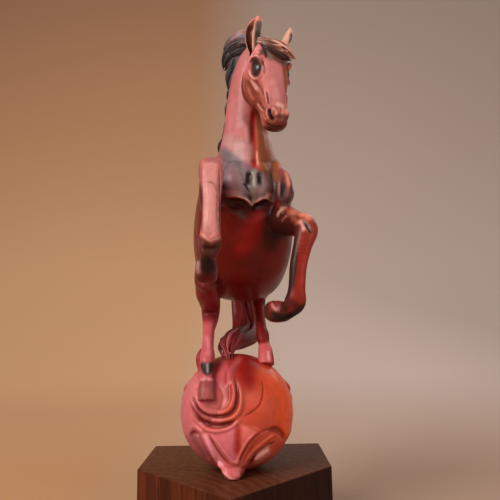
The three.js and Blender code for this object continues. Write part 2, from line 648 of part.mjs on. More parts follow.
const LOCATING_PIN = [-1, 1].map((side) => new THREE.Vector3(
  BALL_LEFT, LOCATING_PIN_OFFSET, PLINTH_TOP + side * LOCATING_PIN_REACH,
));

// Where the figure's castings part, and the dowels across the joints
const NECK_JOINT = at(12, 34, 263);
const NECK_JOINT_NORMAL = new THREE.Vector3(0, -0.3, 1);
const DOWELS = {
  neck: [at(11.5, 28, 246), at(12.5, 33, 280)],
  head: [at(20, 48, 336), onHead(0, -6, 18)],
  right_fore: [at(-17, 88, 230.5), at(-17, 52, 221)],
  left_fore: [at(46, 84, 198.5), at(37, 48, 213)],
  right_hind: [at(-24.2, 6, 146), at(-24.2, 34, 159)],
  left_hind: [at(21.5, -37, 143.5), at(25, -17, 166)],
  tail: [at(2.5, -82, 180), at(2.5, -54, 185)],
};
const hoofPin = (sole) => {
  const centre = at(...sole);
  const inward = BALL_CENTRE.clone().sub(centre).setLength(9);
  return [centre.clone().sub(inward.clone().multiplyScalar(0.7)), centre.clone().add(inward)];
};
const RIGHT_HOOF_PIN = hoofPin([-22.8, 44, 64]);
const LEFT_HOOF_PIN = hoofPin([26.2, 7.5, 88]);

const pinned = (solid, holes) => holes.reduce((piece, hole) => piece.subtract(hole), solid);

// The main body of a casting, without the slivers that a fitted cut leaves
function trimmed(solid) {
  const bodies = solid.decompose();
  return bodies.reduce((largest, body) => (body.volume() > largest.volume() ? body : largest));
}

const body = bodyForm();
const neck = neckForm();
const form = joined(body, neck);
const grownBody = bodyForm(GAP);
const grownSkull = skull(GAP);
const ballWhole = ballForm();
const legCut = (stations) => leg(stations).subtract(grownBody);
const hoofCut = (whole, stations) => whole.subtract(leg(stations, GAP));

const pieces = {
  plinth: {
    solid: slab(0, PLINTH_BOTTOM, PLINTH_HEIGHT, PLINTH_CHAMFER)
      .subtract(bar(boltPoint(PLINTH_BOTTOM - 1), boltPoint(BOLT_SEAT), COUNTERBORE_RADIUS, 0, 20))
      .subtract(bar(boltPoint(BOLT_SEAT - 1), boltPoint(PLINTH_TOP + 1), BOLT_RADIUS + BOLT_CLEARANCE, 0, 12))
      .subtract(dowelHole(LOCATING_PIN)),
    colour: COLOURS.walnut, roughness: 0.5,
  },
  base_felt: { solid: slab(FELT_MARGIN, 0, FELT_THICKNESS, 0), colour: COLOURS.felt, roughness: 1 },
  fixing_bolt: { solid: fixingBolt(), colour: COLOURS.steel, metalness: 1 },
  bolt_washer: {
    solid: ring(BOLT_SEAT - GAP - WASHER_THICKNESS, BOLT_SEAT - GAP, WASHER_RADIUS, BOLT_RADIUS + GAP),
    colour: COLOURS.steel, metalness: 1,
  },
  threaded_bush: { solid: threadedBush(), colour: COLOURS.brass, metalness: 1 },
  locating_pin: { solid: bar(...LOCATING_PIN, DOWEL_RADIUS), colour: COLOURS.steel, metalness: 1 },
  ball: {
    solid: pinned(hoofCut(hoofCut(ballWhole, RIGHT_HIND), LEFT_HIND).subtract(tailForm(GAP)), [
      bar(boltPoint(BALL_BOTTOM - 1), boltPoint(BUSH_BOTTOM + BUSH_LENGTH + GAP), BUSH_RADIUS + GAP, 0, 16),
      bar(boltPoint(BALL_BOTTOM), boltPoint(BUSH_BORE_TOP), BOLT_RADIUS + GAP, 0, 12),
      dowelHole(LOCATING_PIN),
      dowelHole(RIGHT_HOOF_PIN, HOOF_PIN_RADIUS),
      dowelHole(LEFT_HOOF_PIN, HOOF_PIN_RADIUS),
    ]),
    colour: COLOURS.red,
  },
  hind_leg_right: {
    solid: pinned(legCut(RIGHT_HIND), [
      dowelHole(DOWELS.right_hind), dowelHole(RIGHT_HOOF_PIN, HOOF_PIN_RADIUS),
    ]),
    colour: COLOURS.pink,
  },
  hind_leg_left: {
    solid: pinned(legCut(LEFT_HIND), [
      dowelHole(DOWELS.left_hind), dowelHole(LEFT_HOOF_PIN, HOOF_PIN_RADIUS),
    ]),
    colour: COLOURS.red,
  },
  trunk: {
    solid: pinned(form.subtract(beyond(NECK_JOINT, NECK_JOINT_NORMAL, -GAP / 2)), [
      dowelHole(DOWELS.neck), dowelHole(DOWELS.right_fore), dowelHole(DOWELS.left_fore),
      dowelHole(DOWELS.right_hind), dowelHole(DOWELS.left_hind), dowelHole(DOWELS.tail),
    ]),
    colour: COLOURS.deepRed, roughness: 0.35,
  },
  neck: {
    solid: pinned(form.intersect(beyond(NECK_JOINT, NECK_JOINT_NORMAL, GAP / 2)).subtract(grownSkull), [
      dowelHole(DOWELS.neck), dowelHole(DOWELS.head),
    ]),
    colour: COLOURS.pink,
  },
  head: { solid: headForm().subtract(dowelHole(DOWELS.head)), colour: COLOURS.pink },
  mane: {
    solid: maneForm().subtract(neckForm(GAP)).subtract(grownBody).subtract(grownSkull),
    colour: COLOURS.patina, roughness: 0.45,
  },
  tail: {
    solid: tailForm().subtract(grownBody).subtract(dowelHole(DOWELS.tail)),
    colour: COLOURS.rose,
  },
  foreleg_right: {
    solid: legCut(RIGHT_FORE).subtract(dowelHole(DOWELS.right_fore)),
    colour: COLOURS.pink,
  },
  foreleg_left: {
    solid: legCut(LEFT_FORE).subtract(dowelHole(DOWELS.left_fore)),
    colour: COLOURS.red,
  },
  right_hoof_pin: { solid: bar(...RIGHT_HOOF_PIN, HOOF_PIN_RADIUS), colour: COLOURS.steel, metalness: 1 },
  left_hoof_pin: { solid: bar(...LEFT_HOOF_PIN, HOOF_PIN_RADIUS), colour: COLOURS.steel, metalness: 1 },
};

for (const [name, ends] of Object.entries(DOWELS)) {
  pieces[`${name}_dowel`] = { solid: bar(...ends, DOWEL_RADIUS), colour: COLOURS.steel, metalness: 1 };
}

const statue = new THREE.Group();
for (const [name, { solid, colour, roughness = 0.4, metalness = 0 }] of Object.entries(pieces)) {
  const material = new THREE.MeshStandardMaterial({ color: colour, roughness, metalness });
  const mesh = new THREE.Mesh(geometryOf(trimmed(solid)), material);
  mesh.name = name;
  statue.add(mesh);
}

export default statue;
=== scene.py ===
# A statue of a rearing horse on a wave-carved ball, on a five-sided walnut plinth. The castings are shaped as
# lofted forms that are skinned together, and then worked over with modelling strokes and with painted strokes:
# airbrushed colour, and light and shade painted in.
import math

import bpy
import numpy as np
from mathutils import Matrix, Vector
from mathutils.bvhtree import BVHTree


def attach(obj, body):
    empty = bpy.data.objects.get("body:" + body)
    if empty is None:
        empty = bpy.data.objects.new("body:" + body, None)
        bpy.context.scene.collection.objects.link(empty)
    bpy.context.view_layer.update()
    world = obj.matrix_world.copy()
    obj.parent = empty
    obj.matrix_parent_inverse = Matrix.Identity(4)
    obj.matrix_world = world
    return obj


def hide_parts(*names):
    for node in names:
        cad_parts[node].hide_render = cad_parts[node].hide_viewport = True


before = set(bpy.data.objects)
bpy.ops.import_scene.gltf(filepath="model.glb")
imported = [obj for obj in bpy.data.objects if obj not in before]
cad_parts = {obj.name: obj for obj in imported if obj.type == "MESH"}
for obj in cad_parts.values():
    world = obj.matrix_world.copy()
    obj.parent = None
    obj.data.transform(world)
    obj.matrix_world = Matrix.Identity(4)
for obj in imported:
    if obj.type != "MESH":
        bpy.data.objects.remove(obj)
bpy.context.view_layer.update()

MM = 0.001

# Sizes in millimetres, as the castings have them
PLINTH_TOP = 61.8
PLINTH_BOTTOM = 1.8
PLINTH_WIDTH = 168
PLINTH_SIDE = 88
BALL_RADIUS = 49.3
BALL_LEFT = 2.8
BALL_BOTTOM = PLINTH_TOP + 0.3
BALL_MIDDLE = np.array([BALL_LEFT, 0, BALL_BOTTOM + BALL_RADIUS - 2.8])
FIGURE_FLOOR = BALL_MIDDLE[2] + BALL_RADIUS - 96
BARREL_WIDTH = 87
NECK_WIDTH = 36
HEAD_LENGTH = 76
HEAD_WIDTH = 31
HEAD_TURN = math.radians(27)
HEAD_TILT = math.radians(8)

# Camera, fitted to the plinth's corners. Pixels are those of a square picture with PICTURE of them on a side.
PICTURE = 500
FOCAL = 530
SENSOR = 36
EYE = Vector((16.7, -481, PLINTH_TOP + 121.7)) * MM
VIEW = (Matrix.Translation(EYE) @ Matrix.Rotation(math.radians(98), 4, "X")
        @ Matrix.Rotation(math.radians(-1), 4, "Z"))

ACROSS = np.array([1.0, 0, 0])
UP = np.array([0, 0, 1.0])


def unit(v):
    return v / (np.linalg.norm(v, axis=-1, keepdims=True) + 1e-12)


def at(left, ahead, up):
    """A point of the figure, in mm: left of the ball's centre, ahead of it and above the figure's floor."""
    return np.array([BALL_LEFT + left, -ahead, FIGURE_FLOOR + up], float)


# ---- Lofts

def spline(points, shares, centripetal=True):
    """Points of a Catmull-Rom curve at shares of its length in stations."""
    points = np.asarray(points, float)
    last = len(points) - 1
    padded = np.vstack([2 * points[0] - points[1], points, 2 * points[-1] - points[-2]])
    place = np.asarray(shares, float) * last
    i = np.minimum(place.astype(int), last - 1)
    t = (place - i)[:, None]
    a, b, c, d = padded[i], padded[i + 1], padded[i + 2], padded[i + 3]
    if centripetal:
        step = lambda p, q: np.maximum(np.linalg.norm(q - p, axis=1, keepdims=True) ** 0.5, 1e-4)
        s0, s1, s2 = step(a, b), step(b, c), step(c, d)
        leave = ((b - a) / s0 - (c - a) / (s0 + s1) + (c - b) / s1) * s1
        enter = ((c - b) / s1 - (d - b) / (s1 + s2) + (d - c) / s2) * s1
    else:
        leave, enter = (c - a) / 2, (d - b) / 2
    return (b * (2 * t**3 - 3 * t**2 + 1) + leave * (t**3 - 2 * t**2 + t)
            + c * (3 * t**2 - 2 * t**3) + enter * (t**3 - t**2))


def tube_faces(rings, sides):
    """Faces of a tube of rings + 1 rings of corners, which one more corner closes at each end."""
    start = (rings + 1) * sides
    faces = []
    for k in range(sides):
        n = (k + 1) % sides
        faces += [(start, k, n), (start + 1, rings * sides + n, rings * sides + k)]
        faces += [(i * sides + k, (i + 1) * sides + k, (i + 1) * sides + n, i * sides + n) for i in range(rings)]
    return faces


def loft(stations, across=ACROSS, sides=36, steps=6, power=2.0):
    """A closed body through stations [centre, half width, reach ahead, reach behind]: its corners and faces."""
    centres = np.array([s[0] for s in stations])
    reaches = np.array([s[1:] for s in stations], float)
    rings = (len(stations) - 1) * steps
    shares = np.linspace(0, 1, rings + 1)
    path = spline(centres, shares)
    size = spline(reaches, shares, False)
    tangent = unit(spline(centres, np.clip(shares + 1e-3, 0, 1)) - spline(centres, np.clip(shares - 1e-3, 0, 1)))
    side = unit(across - tangent * (tangent @ across)[:, None])
    ahead = np.cross(side, tangent)
    angle = np.arange(sides) * 2 * math.pi / sides
    shaped = lambda v: np.sign(v) * np.abs(v) ** (2 / power)
    depth = np.where(np.sin(angle)[None] > 0, size[:, 1:2], size[:, 2:3])
    corners = (path[:, None] + side[:, None] * (size[:, 0:1] * shaped(np.cos(angle)))[..., None]
               + ahead[:, None] * (depth * shaped(np.sin(angle)))[..., None]).reshape(-1, 3)
    return np.vstack([corners, path[0], path[-1]]), tube_faces(rings, sides)


def ball_form(centre, *halves, turn=None, sides=32):
    """An ellipsoid about a centre, its half sizes along the three directions of turn."""
    turn = np.eye(3) if turn is None else np.array(turn)
    angle = np.linspace(-math.pi / 2, math.pi / 2, sides // 2 + 1)[1:-1]
    stations = [(centre + turn[2] * halves[2] * math.sin(a), halves[0] * math.cos(a), halves[1] * math.cos(a))
                for a in angle]
    round_ = np.arange(sides) * 2 * math.pi / sides
    corners = [c + turn[0] * w * math.cos(b) + turn[1] * d * math.sin(b) for c, w, d in stations for b in round_]
    corners += [centre - turn[2] * halves[2], centre + turn[2] * halves[2]]
    inward = tube_faces(len(stations) - 1, sides)
    return np.array(corners), [face[:1] + face[:0:-1] for face in inward]


def lobe(stations, across, sides=20):
    return loft([(p, w, t, t) for p, w, t in stations], across, sides)


def new_piece(name, corners, faces=(), edges=()):
    """A new object from corners in mm, with faces or edges between them."""
    mesh = bpy.data.meshes.new(name)
    mesh.from_pydata((np.asarray(corners) * MM).tolist(), edges, faces)
    mesh.update()
    piece = bpy.data.objects.new(name, mesh)
    bpy.context.scene.collection.objects.link(piece)
    return piece


def settle(piece):
    """Applies a piece's modifiers, so that it is a plain mesh."""
    graph = bpy.context.evaluated_depsgraph_get()
    mesh = bpy.data.meshes.new_from_object(piece.evaluated_get(graph))
    piece.modifiers.clear()
    old = piece.data
    piece.data = mesh
    bpy.data.meshes.remove(old)
    mesh.name = piece.name


def give_values(mesh, paint, **values):
    """Gives a mesh its colours, 0 to 255 for each point, and other values for each point by name."""
    rgba = np.ones((len(paint), 4))
    rgba[:, :3] = linear(np.clip(paint, 0, 255))
    mesh.attributes.new("Paint", "FLOAT_COLOR", "POINT").data.foreach_set("color", rgba.ravel())
    for name, numbers in values.items():
        mesh.attributes.new(name, "FLOAT", "POINT").data.foreach_set("value", numbers)


# ---- A casting: one skin over lofted forms, worked with strokes

def to_path(points, path):
    """Each point's distance to a path, and the share along the path where it comes nearest."""
    best = np.full(len(points), np.inf)
    share = np.zeros(len(points))
    if len(path) == 1:
        return np.linalg.norm(points - path[0], axis=1), share + 0.5
    for i in range(len(path) - 1):
        along = path[i + 1] - path[i]
        t = np.clip((points - path[i]) @ along / max(along @ along, 1e-9), 0, 1)
        distance = np.linalg.norm(points - path[i] - t[:, None] * along, axis=1)
        closer = distance < best
        best[closer] = distance[closer]
        share[closer] = (i + t[closer]) / (len(path) - 1)
    return best, share


# Steps between two points of a stroke, and how quickly its ends fade
PATH_STEPS = 8
END_FADE = 1.6


def smooth_path(path):
    path = np.atleast_2d(np.asarray(path, float))
    return spline(path, np.linspace(0, 1, PATH_STEPS * (len(path) - 1) + 1)) if len(path) > 1 else path


def softly(distance, share, radius, fade):
    """A stroke's weight: 1 on its path, 0 at radius from it, and fading towards both ends if fade is set."""
    weight = np.clip(1 - (distance / radius) ** 2, 0, 1) ** 2
    return weight * np.clip(np.sin(math.pi * share) * END_FADE, 0, 1) if fade else weight


def in_picture(points):
    """The pixels of the picture that points, in mm, fall on."""
    back = np.array(VIEW.inverted())
    local = points * MM @ back[:3, :3].T + back[:3, 3]
    x, y, depth = local.T
    return np.stack([PICTURE / 2 - FOCAL * x / depth, PICTURE / 2 + FOCAL * y / depth], 1)


def linear(colour):
    colour = np.asarray(colour, float) / 255
    return np.where(colour <= 0.04045, colour / 12.92, ((colour + 0.055) / 1.055) ** 2.4)


class Casting:
    """A skin in millimetres. press() and stroke() model it; tint(), daub() and fill() paint it, with airbrushed
    colour and with painted light and shade. Without a voxel size the forms stay as given, all of them of four-sided
    faces."""

    # The spacing of points where there is no voxel size, the two steps of relax(), how deep a full crease is beside
    # that spacing, and how far a point faces the picture where a stroke starts to show and where it shows fully
    GRAIN = 0.6
    INWARD, OUTWARD = 0.52, -0.54
    CREASE = 0.12
    SIDELONG, FACING = -0.05, 0.18

    def __init__(self, name, forms, voxel, colour):
        corners, faces = [], []
        for form_corners, form_faces in forms:
            shift = sum(len(c) for c in corners)
            corners.append(form_corners)
            faces += [tuple(shift + v for v in face) for face in form_faces]
        self.piece = new_piece(name, np.vstack(corners), faces)
        if voxel:
            skin = self.piece.modifiers.new("skin", "REMESH")
            skin.mode = "VOXEL"
            skin.voxel_size = voxel * MM
            settle(self.piece)
        mesh = self.piece.data
        count = len(mesh.vertices)
        flat = np.empty(count * 3)
        mesh.vertices.foreach_get("co", flat)
        self.points = flat.reshape(-1, 3) / MM
        corners_of = np.empty(len(mesh.loops), int)
        mesh.loops.foreach_get("vertex_index", corners_of)
        self.quads = corners_of.reshape(-1, 4)
        edges = np.empty(len(mesh.edges) * 2, int)
        mesh.edges.foreach_get("vertices", edges)
        self.edges = edges.reshape(-1, 2)
        self.degree = np.bincount(self.edges.ravel(), minlength=count)[:, None]
        self.grain = voxel or self.GRAIN
        self.paint = np.tile(np.asarray(colour, float), (count, 1))
        self.gloss = np.full(count, 0.5)
        self.part = 1.0

    def around(self, values):
        """Each point's mean over its neighbours."""
        a, b = self.edges.T
        count = len(self.points)
        total = np.stack([np.bincount(a, values[b, k], count) + np.bincount(b, values[a, k], count)
                          for k in range(values.shape[1])], 1)
        return total / self.degree

    def relax(self, rounds, share=1.0):
        """Smooths the skin without shrinking it. share may be a weight for each point."""
        share = np.asarray(share, float).reshape(-1, 1)
        for _ in range(rounds):
            for step in (self.INWARD, self.OUTWARD):
                self.points += share * step * (self.around(self.points) - self.points)

    def normals(self):
        a, b, c, d = (self.points[self.quads[:, k]] for k in range(4))
        face = np.cross(c - a, d - b)
        total = np.zeros_like(self.points)
        for k in range(4):
            for axis in range(3):
                total[:, axis] += np.bincount(self.quads[:, k], face[:, axis], len(self.points))
        return unit(total)

    def set_aim(self):
        """Keeps the skin as it is now, for strokes through the picture to be aimed at."""
        self.aim = BVHTree.FromPolygons(self.points.tolist(), self.quads.tolist())

    def seen(self, x, y):
        """The point of the skin, in mm, that shows at a pixel."""
        ray = Vector(((x - PICTURE / 2) / FOCAL, (PICTURE / 2 - y) / FOCAL, -1))
        hit = self.aim.ray_cast(EYE / MM, (VIEW.to_3x3() @ ray).normalized())[0]
        return None if hit is None else np.array(hit)

    def seen_path(self, pixels):
        found = [self.seen(x, y) for x, y in pixels]
        return [p for p in found if p is not None]

    def along(self, points, path, radius, fade):
        """softly() for those of the points that lie in the path's box, and 0 for the others."""
        weight = np.zeros(len(points))
        inside = np.where(((points > path.min(0) - radius) & (points < path.max(0) + radius)).all(1))[0]
        if len(inside):
            weight[inside] = softly(*to_path(points[inside], path), radius, fade)
        return weight

    def near(self, path, radius, fade=True):
        """A weight for each point: 1 on the path, 0 at radius from it. It fades towards both of the path's ends."""
        if not len(path):
            return np.zeros(len(self.points))
        return self.along(self.points, smooth_path(path), radius, fade)

    def face_picture(self):
        """Notes which pixel of the picture each point falls on, and how far it faces the picture."""
        self.pixels = in_picture(self.points)
        toward = unit(np.array(EYE) / MM - self.points)
        self.facing = blend((self.normals() * toward).sum(1), self.SIDELONG, self.FACING)

    def streak(self, pixels, radius, fade=True):
        """Like near(), for a path and radius in pixels, on the side that shows in the picture."""
        return self.along(self.pixels, smooth_path(pixels), radius, fade) * self.facing

    def zone(self, corners, soft=2.5):
        """1 inside a polygon of pixels and 0 outside it, on the side that shows in the picture."""
        x, y = self.pixels.T
        inside = np.zeros(len(x), bool)
        ends = np.array(corners + corners[:1], float)
        for (ax, ay), (bx, by) in zip(ends[:-1], ends[1:]):
            crosses = (ay > y) != (by > y)
            inside ^= crosses & (x < (bx - ax) * (y - ay) / (by - ay + 1e-9) + ax)
        distance = to_path(self.pixels, ends)[0]
        return blend(np.where(inside, distance, -distance), -soft, soft) * self.facing

    def press(self, path, radius, height, fade=True):
        """Raises the skin along a path, or sinks it where height is negative."""
        weight = self.near(path, radius, fade)
        touched = weight > 0
        self.points[touched] += (self.normals()[touched] * weight[touched, None]) * height

    def stroke(self, pixels, radius, height, fade=True):
        """Like press(), along a path of pixels on the skin that set_aim() kept."""
        self.press(self.seen_path(pixels), radius, height, fade)

    def tint(self, where, colour, share=1.0):
        weight = np.clip(where * share, 0, 1)[:, None]
        self.paint += weight * (np.asarray(colour, float) - self.paint)

    def daub(self, pixels, radius, colour, share=1.0, fade=True):
        """Tints along a path of pixels, within the part that is being painted."""
        self.tint(self.streak(pixels, radius, fade) * self.part, colour, share)

    def fill(self, corners, colour, share=1.0, soft=2.5):
        """Tints a polygon of pixels, within the part that is being painted."""
        self.tint(self.zone(corners, soft) * self.part, colour, share)

    def shine(self, where, value):
        self.gloss += np.clip(where, 0, 1) * (value - self.gloss)

    def hollows(self, spread=3):
        """How deep each point lies in a crease: positive in hollows and negative on edges, about -1 to 1."""
        bend = self.around(self.points) - self.points
        depth = (bend * self.normals()).sum(1)[:, None]
        for _ in range(spread):
            depth = self.around(depth)
        return np.clip(depth[:, 0] / (self.CREASE * self.grain), -1, 1)

    def finish(self, material, slot, *replaces, share=1):
        """Gives the piece its skin, colours and material. share is the part of its faces that it keeps. Where the
        picture shows it, it keeps them all."""
        mesh = self.piece.data
        mesh.vertices.foreach_set("co", (self.points * MM).ravel())
        mesh.update()
        give_values(mesh, self.paint, Gloss=self.gloss)
        mesh.shade_smooth()
        mesh.materials.clear()
        mesh.materials.append(material)
        if share < 1:
            hidden = self.piece.vertex_groups.new(name="hidden")
            hidden.add(np.where(self.facing < 0.01)[0].tolist(), 1, "REPLACE")
            fewer = self.piece.modifiers.new("fewer", "DECIMATE")
            fewer.ratio = share
            fewer.vertex_group = "hidden"
            settle(self.piece)
            self.piece.vertex_groups.clear()
        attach(self.piece, "root")
        if replaces:
            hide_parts(*replaces)


def blend(value, low, high):
    """0 below low, 1 above high, smooth between."""
    t = np.clip((value - low) / (high - low), 0, 1)
    return t * t * (3 - 2 * t)


def ripple(points, scale, seed=0):
    """Smooth cloudy values, about -1 to 1, from a few crossed waves."""
    rng = np.random.default_rng(seed)
    total = np.zeros(len(points))
    for _ in range(7):
        direction = unit(rng.normal(size=3))
        total += np.sin(points @ direction * 2 * math.pi / scale * rng.uniform(0.6, 1.6) + rng.uniform(0, 6.3))
    return total / 3.2


# ---- Materials

def feed(tree, made, inputs):
    """Feeds a node's inputs, given by name or number: a socket is linked, any other value is set."""
    for name, value in inputs.items():
        if isinstance(value, bpy.types.NodeSocket):
            tree.links.new(value, made.inputs[name])
        else:
            made.inputs[name].default_value = value


def node(tree, kind, inputs=None, **settings):
    made = tree.nodes.new(kind)
    for key, value in settings.items():
        setattr(made, key, value)
    feed(tree, made, inputs or {})
    return made


def object_place(tree):
    return node(tree, "ShaderNodeTexCoord").outputs["Object"]


def new_material(name):
    material = bpy.data.materials.new(name)
    material.use_nodes = True
    tree = material.node_tree
    return material, tree, tree.nodes["Principled BSDF"]


def noise(tree, scale, detail=3.0, roughness=0.55, vector=None):
    inputs = {"Vector": vector or object_place(tree), "Scale": scale, "Detail": detail, "Roughness": roughness}
    return node(tree, "ShaderNodeTexNoise", inputs).outputs["Fac"]


def ranged(tree, value, low, high, to_low, to_high):
    inputs = {"Value": value, "From Min": low, "From Max": high, "To Min": to_low, "To Max": to_high}
    return node(tree, "ShaderNodeMapRange", inputs).outputs["Result"]


def mixed(tree, share, first, second, kind="MIX"):
    """Two colours mixed, each a socket or three numbers."""
    first, second = (c if isinstance(c, bpy.types.NodeSocket) else (*c, 1) for c in (first, second))
    inputs = {0: share, 6: first, 7: second}
    return node(tree, "ShaderNodeMix", inputs, data_type="RGBA", blend_type=kind).outputs[2]


def bumped(tree, shader, height, strength, distance):
    made = node(tree, "ShaderNodeBump", {"Height": height, "Strength": strength, "Distance": distance})
    feed(tree, shader, {"Normal": made.outputs["Normal"]})


def lacquer(name, low_gloss=0.55, high_gloss=0.26, coat=0.07):
    """Airbrushed lacquer over cast resin: the painted colour, with light and shade painted into it too, a fine
    mottle and a thin clear coat.
    """
    material, tree, shader = new_material(name)
    paint = node(tree, "ShaderNodeAttribute", attribute_name="Paint").outputs["Color"]
    gloss = node(tree, "ShaderNodeAttribute", attribute_name="Gloss").outputs["Fac"]
    mottle = noise(tree, 160, 5, 0.6)
    cloud = noise(tree, 34, 3, 0.5)
    colour = mixed(tree, ranged(tree, mottle, 0.42, 0.72, 0, 0.19), paint, (0.03, 0.006, 0.005))
    colour = mixed(tree, ranged(tree, cloud, 0.45, 0.75, 0, 0.06), colour, (0.4, 0.1, 0.07), "SCREEN")
    rough = node(tree, "ShaderNodeMath", {0: ranged(tree, gloss, 0, 1, low_gloss, high_gloss),
                                          1: ranged(tree, mottle, 0.3, 0.7, -0.05, 0.08)}, operation="ADD")
    feed(tree, shader, {"Base Color": colour, "Roughness": rough.outputs[0], "Specular IOR Level": 0.16,
                        "Coat Weight": coat, "Coat Roughness": 0.16})
    bumped(tree, shader, noise(tree, 900, 3, 0.5), 0.12, 0.0002)
    return material


# ---- The figure's forms: stations [left, ahead, up, ...] as the castings have them

TRUNK = [
    (2, -76, 171, 0.05, 3, 3), (2, -68, 174, 0.42, 15, 19), (3, -50, 178, 0.7, 28, 33),
    (4, -32, 182, 0.86, 38, 39), (5.8, -12, 188, 0.97, 47, 43.6), (7.3, 6, 200, 1.01, 52, 45.4),
    (8.8, 23, 213, 0.99, 47, 48), (10, 37, 227, 0.92, 41, 49), (11, 48, 239, 0.83, 34, 43),
    (12, 57, 246, 0.66, 24, 30), (12.5, 63, 251, 0.4, 14, 15), (12.5, 66, 254, 0.1, 4, 4),
]
SHOULDER = [
    (9, 6, 266, 5, 8, 10), (16, 21, 255, 11, 16, 17), (21, 37, 243, 14.5, 19, 20), (23, 52, 230, 14, 17, 19),
    (24, 58, 218, 9.5, 12, 13), (24, 58, 210, 1.5, 2, 2),
]
BREAST = [(5, 56, 255, 5, 5, 5), (9, 64, 243, 9.5, 8, 8), (9.5, 67, 231, 10.5, 9, 9), (9, 66.5, 221.5, 8, 7, 7),
          (8, 64, 217, 1.5, 2, 2)]
HAUNCH = [(9, -68, 182, 5, 6, 6), (16, -53, 188, 15, 20, 19), (20.5, -33, 188, 18.5, 27, 25)]
SHOULDER_MIDDLE = 10.9
LEFT_SHOULDER_OUT = (0.6, 0.9, 2, 2.8, 3, 3)
BREAST_MIDDLE = 12
HAUNCH_MIDDLE = 3.4
STIFLES = {-1: (-24.2, 33, 158), 1: (28, 14, 165)}
NECK = [
    (11, 24, 236, 1.8, 36, 30), (12, 29, 248, 1.7, 40, 34), (12.2, 32, 262, 1.46, 36, 33),
    (12.6, 33, 285, 1.15, 28, 30), (13.2, 36, 308, 1.0, 25, 26), (16, 43, 329, 0.9, 21, 21),
    (21, 51, 345, 0.78, 16, 16), (25.5, 58, 354, 0.5, 8, 8),
]
RIGHT_FORE = [
    (-18, 100.8, 153.6, 5, 4, 4.6), (-17.6, 103.4, 156, 7.6, 6.2, 7.2), (-17, 108, 159.6, 8.2, 7, 8),
    (-16.2, 114.6, 163.4, 7.4, 6.8, 7),
    (-14.8, 120.5, 168, 5.4, 5.4, 5.6), (-13.4, 126.5, 176, 8, 6.8, 7), (-12.6, 128.5, 184, 6.8, 5.2, 6.4),
    (-12, 127, 200, 6.2, 5, 6.2), (-12, 124.5, 214, 6.8, 5.6, 6.6), (-12.2, 121, 223, 8.2, 7, 7.6),
    (-12.4, 115, 231.5, 8.8, 8, 8), (-14.6, 105, 234, 8.2, 8, 8.4), (-15.4, 90, 231, 8, 9.2, 10.2),
    (-16.8, 72, 225, 9, 11.5, 12), (-16.4, 54, 219, 9.6, 11, 12),
]
LEFT_FORE = [
    (28.8, 100.6, 131, 7.4, 6.4, 7.2), (32, 105.5, 130, 8.2, 7.4, 8), (36, 111.4, 130, 7.4, 6.8, 7.2),
    (39.6, 116, 131, 5.6, 5.6, 5.8), (43.8, 122, 136.5, 7.2, 7, 7.4), (45, 123.5, 145, 5.8, 5.4, 6.8),
    (46.6, 123, 161, 5.9, 5.2, 6.6), (50.2, 121.5, 175, 6.6, 6.2, 7.2), (53.2, 117.5, 185, 8.2, 7.6, 8),
    (52.8, 110, 191, 8.2, 8, 8.4), (50, 98, 194, 8.4, 8.6, 9), (45, 80, 199, 9.8, 10.6, 11),
    (40, 62, 206, 10.8, 12, 12.5), (37, 50, 211, 10, 10, 11),
]
RIGHT_HIND = [
    (-22.6, 46.5, 61.8, 7.6, 7.2, 7.8), (-22.8, 44, 69, 7.1, 6.8, 7.4), (-23.2, 39.5, 78, 5.4, 5.6, 6.2),
    (-23.5, 34.5, 85, 4.9, 5, 5.4), (-23.6, 27, 95, 6.4, 6.4, 6.8), (-23.7, 19.5, 103, 5, 4.8, 5.8),
    (-24, 4, 118, 5.4, 4.8, 6), (-23.4, -9, 130, 7.8, 6.4, 8.6), (-23.2, -8, 138, 8.8, 7, 9.4),
    (-23.4, 2, 144, 9.6, 8.6, 9), (-24.2, 17, 150.5, 10, 10, 10), (-24.2, 33, 158, 8.6, 8.6, 8.6),
]
LEFT_HIND = [
    (26.2, 8.5, 86.5, 7.2, 7.2, 7.8), (26.2, 6.5, 91.5, 7, 6.8, 7.4), (25.8, 1, 99, 6.2, 6, 6.6),
    (25.2, -3.5, 104, 5.1, 5.2, 5.6), (24, -9.5, 111.5, 6, 6.4, 6.8), (23.1, -16, 118.5, 4.9, 4.8, 5.8),
    (22, -27.5, 131, 5, 5, 6.2), (21.4, -38, 142, 6.5, 6.4, 8.6), (21.6, -37, 149.5, 7.4, 7.2, 9.4),
    (23, -25, 154, 9, 8.8, 9), (25.6, -8, 158.5, 10.2, 10, 10), (28, 10, 164, 9, 9, 9),
]


def placed(stations):
    return [(at(*s[:3]), *s[3:]) for s in stations]


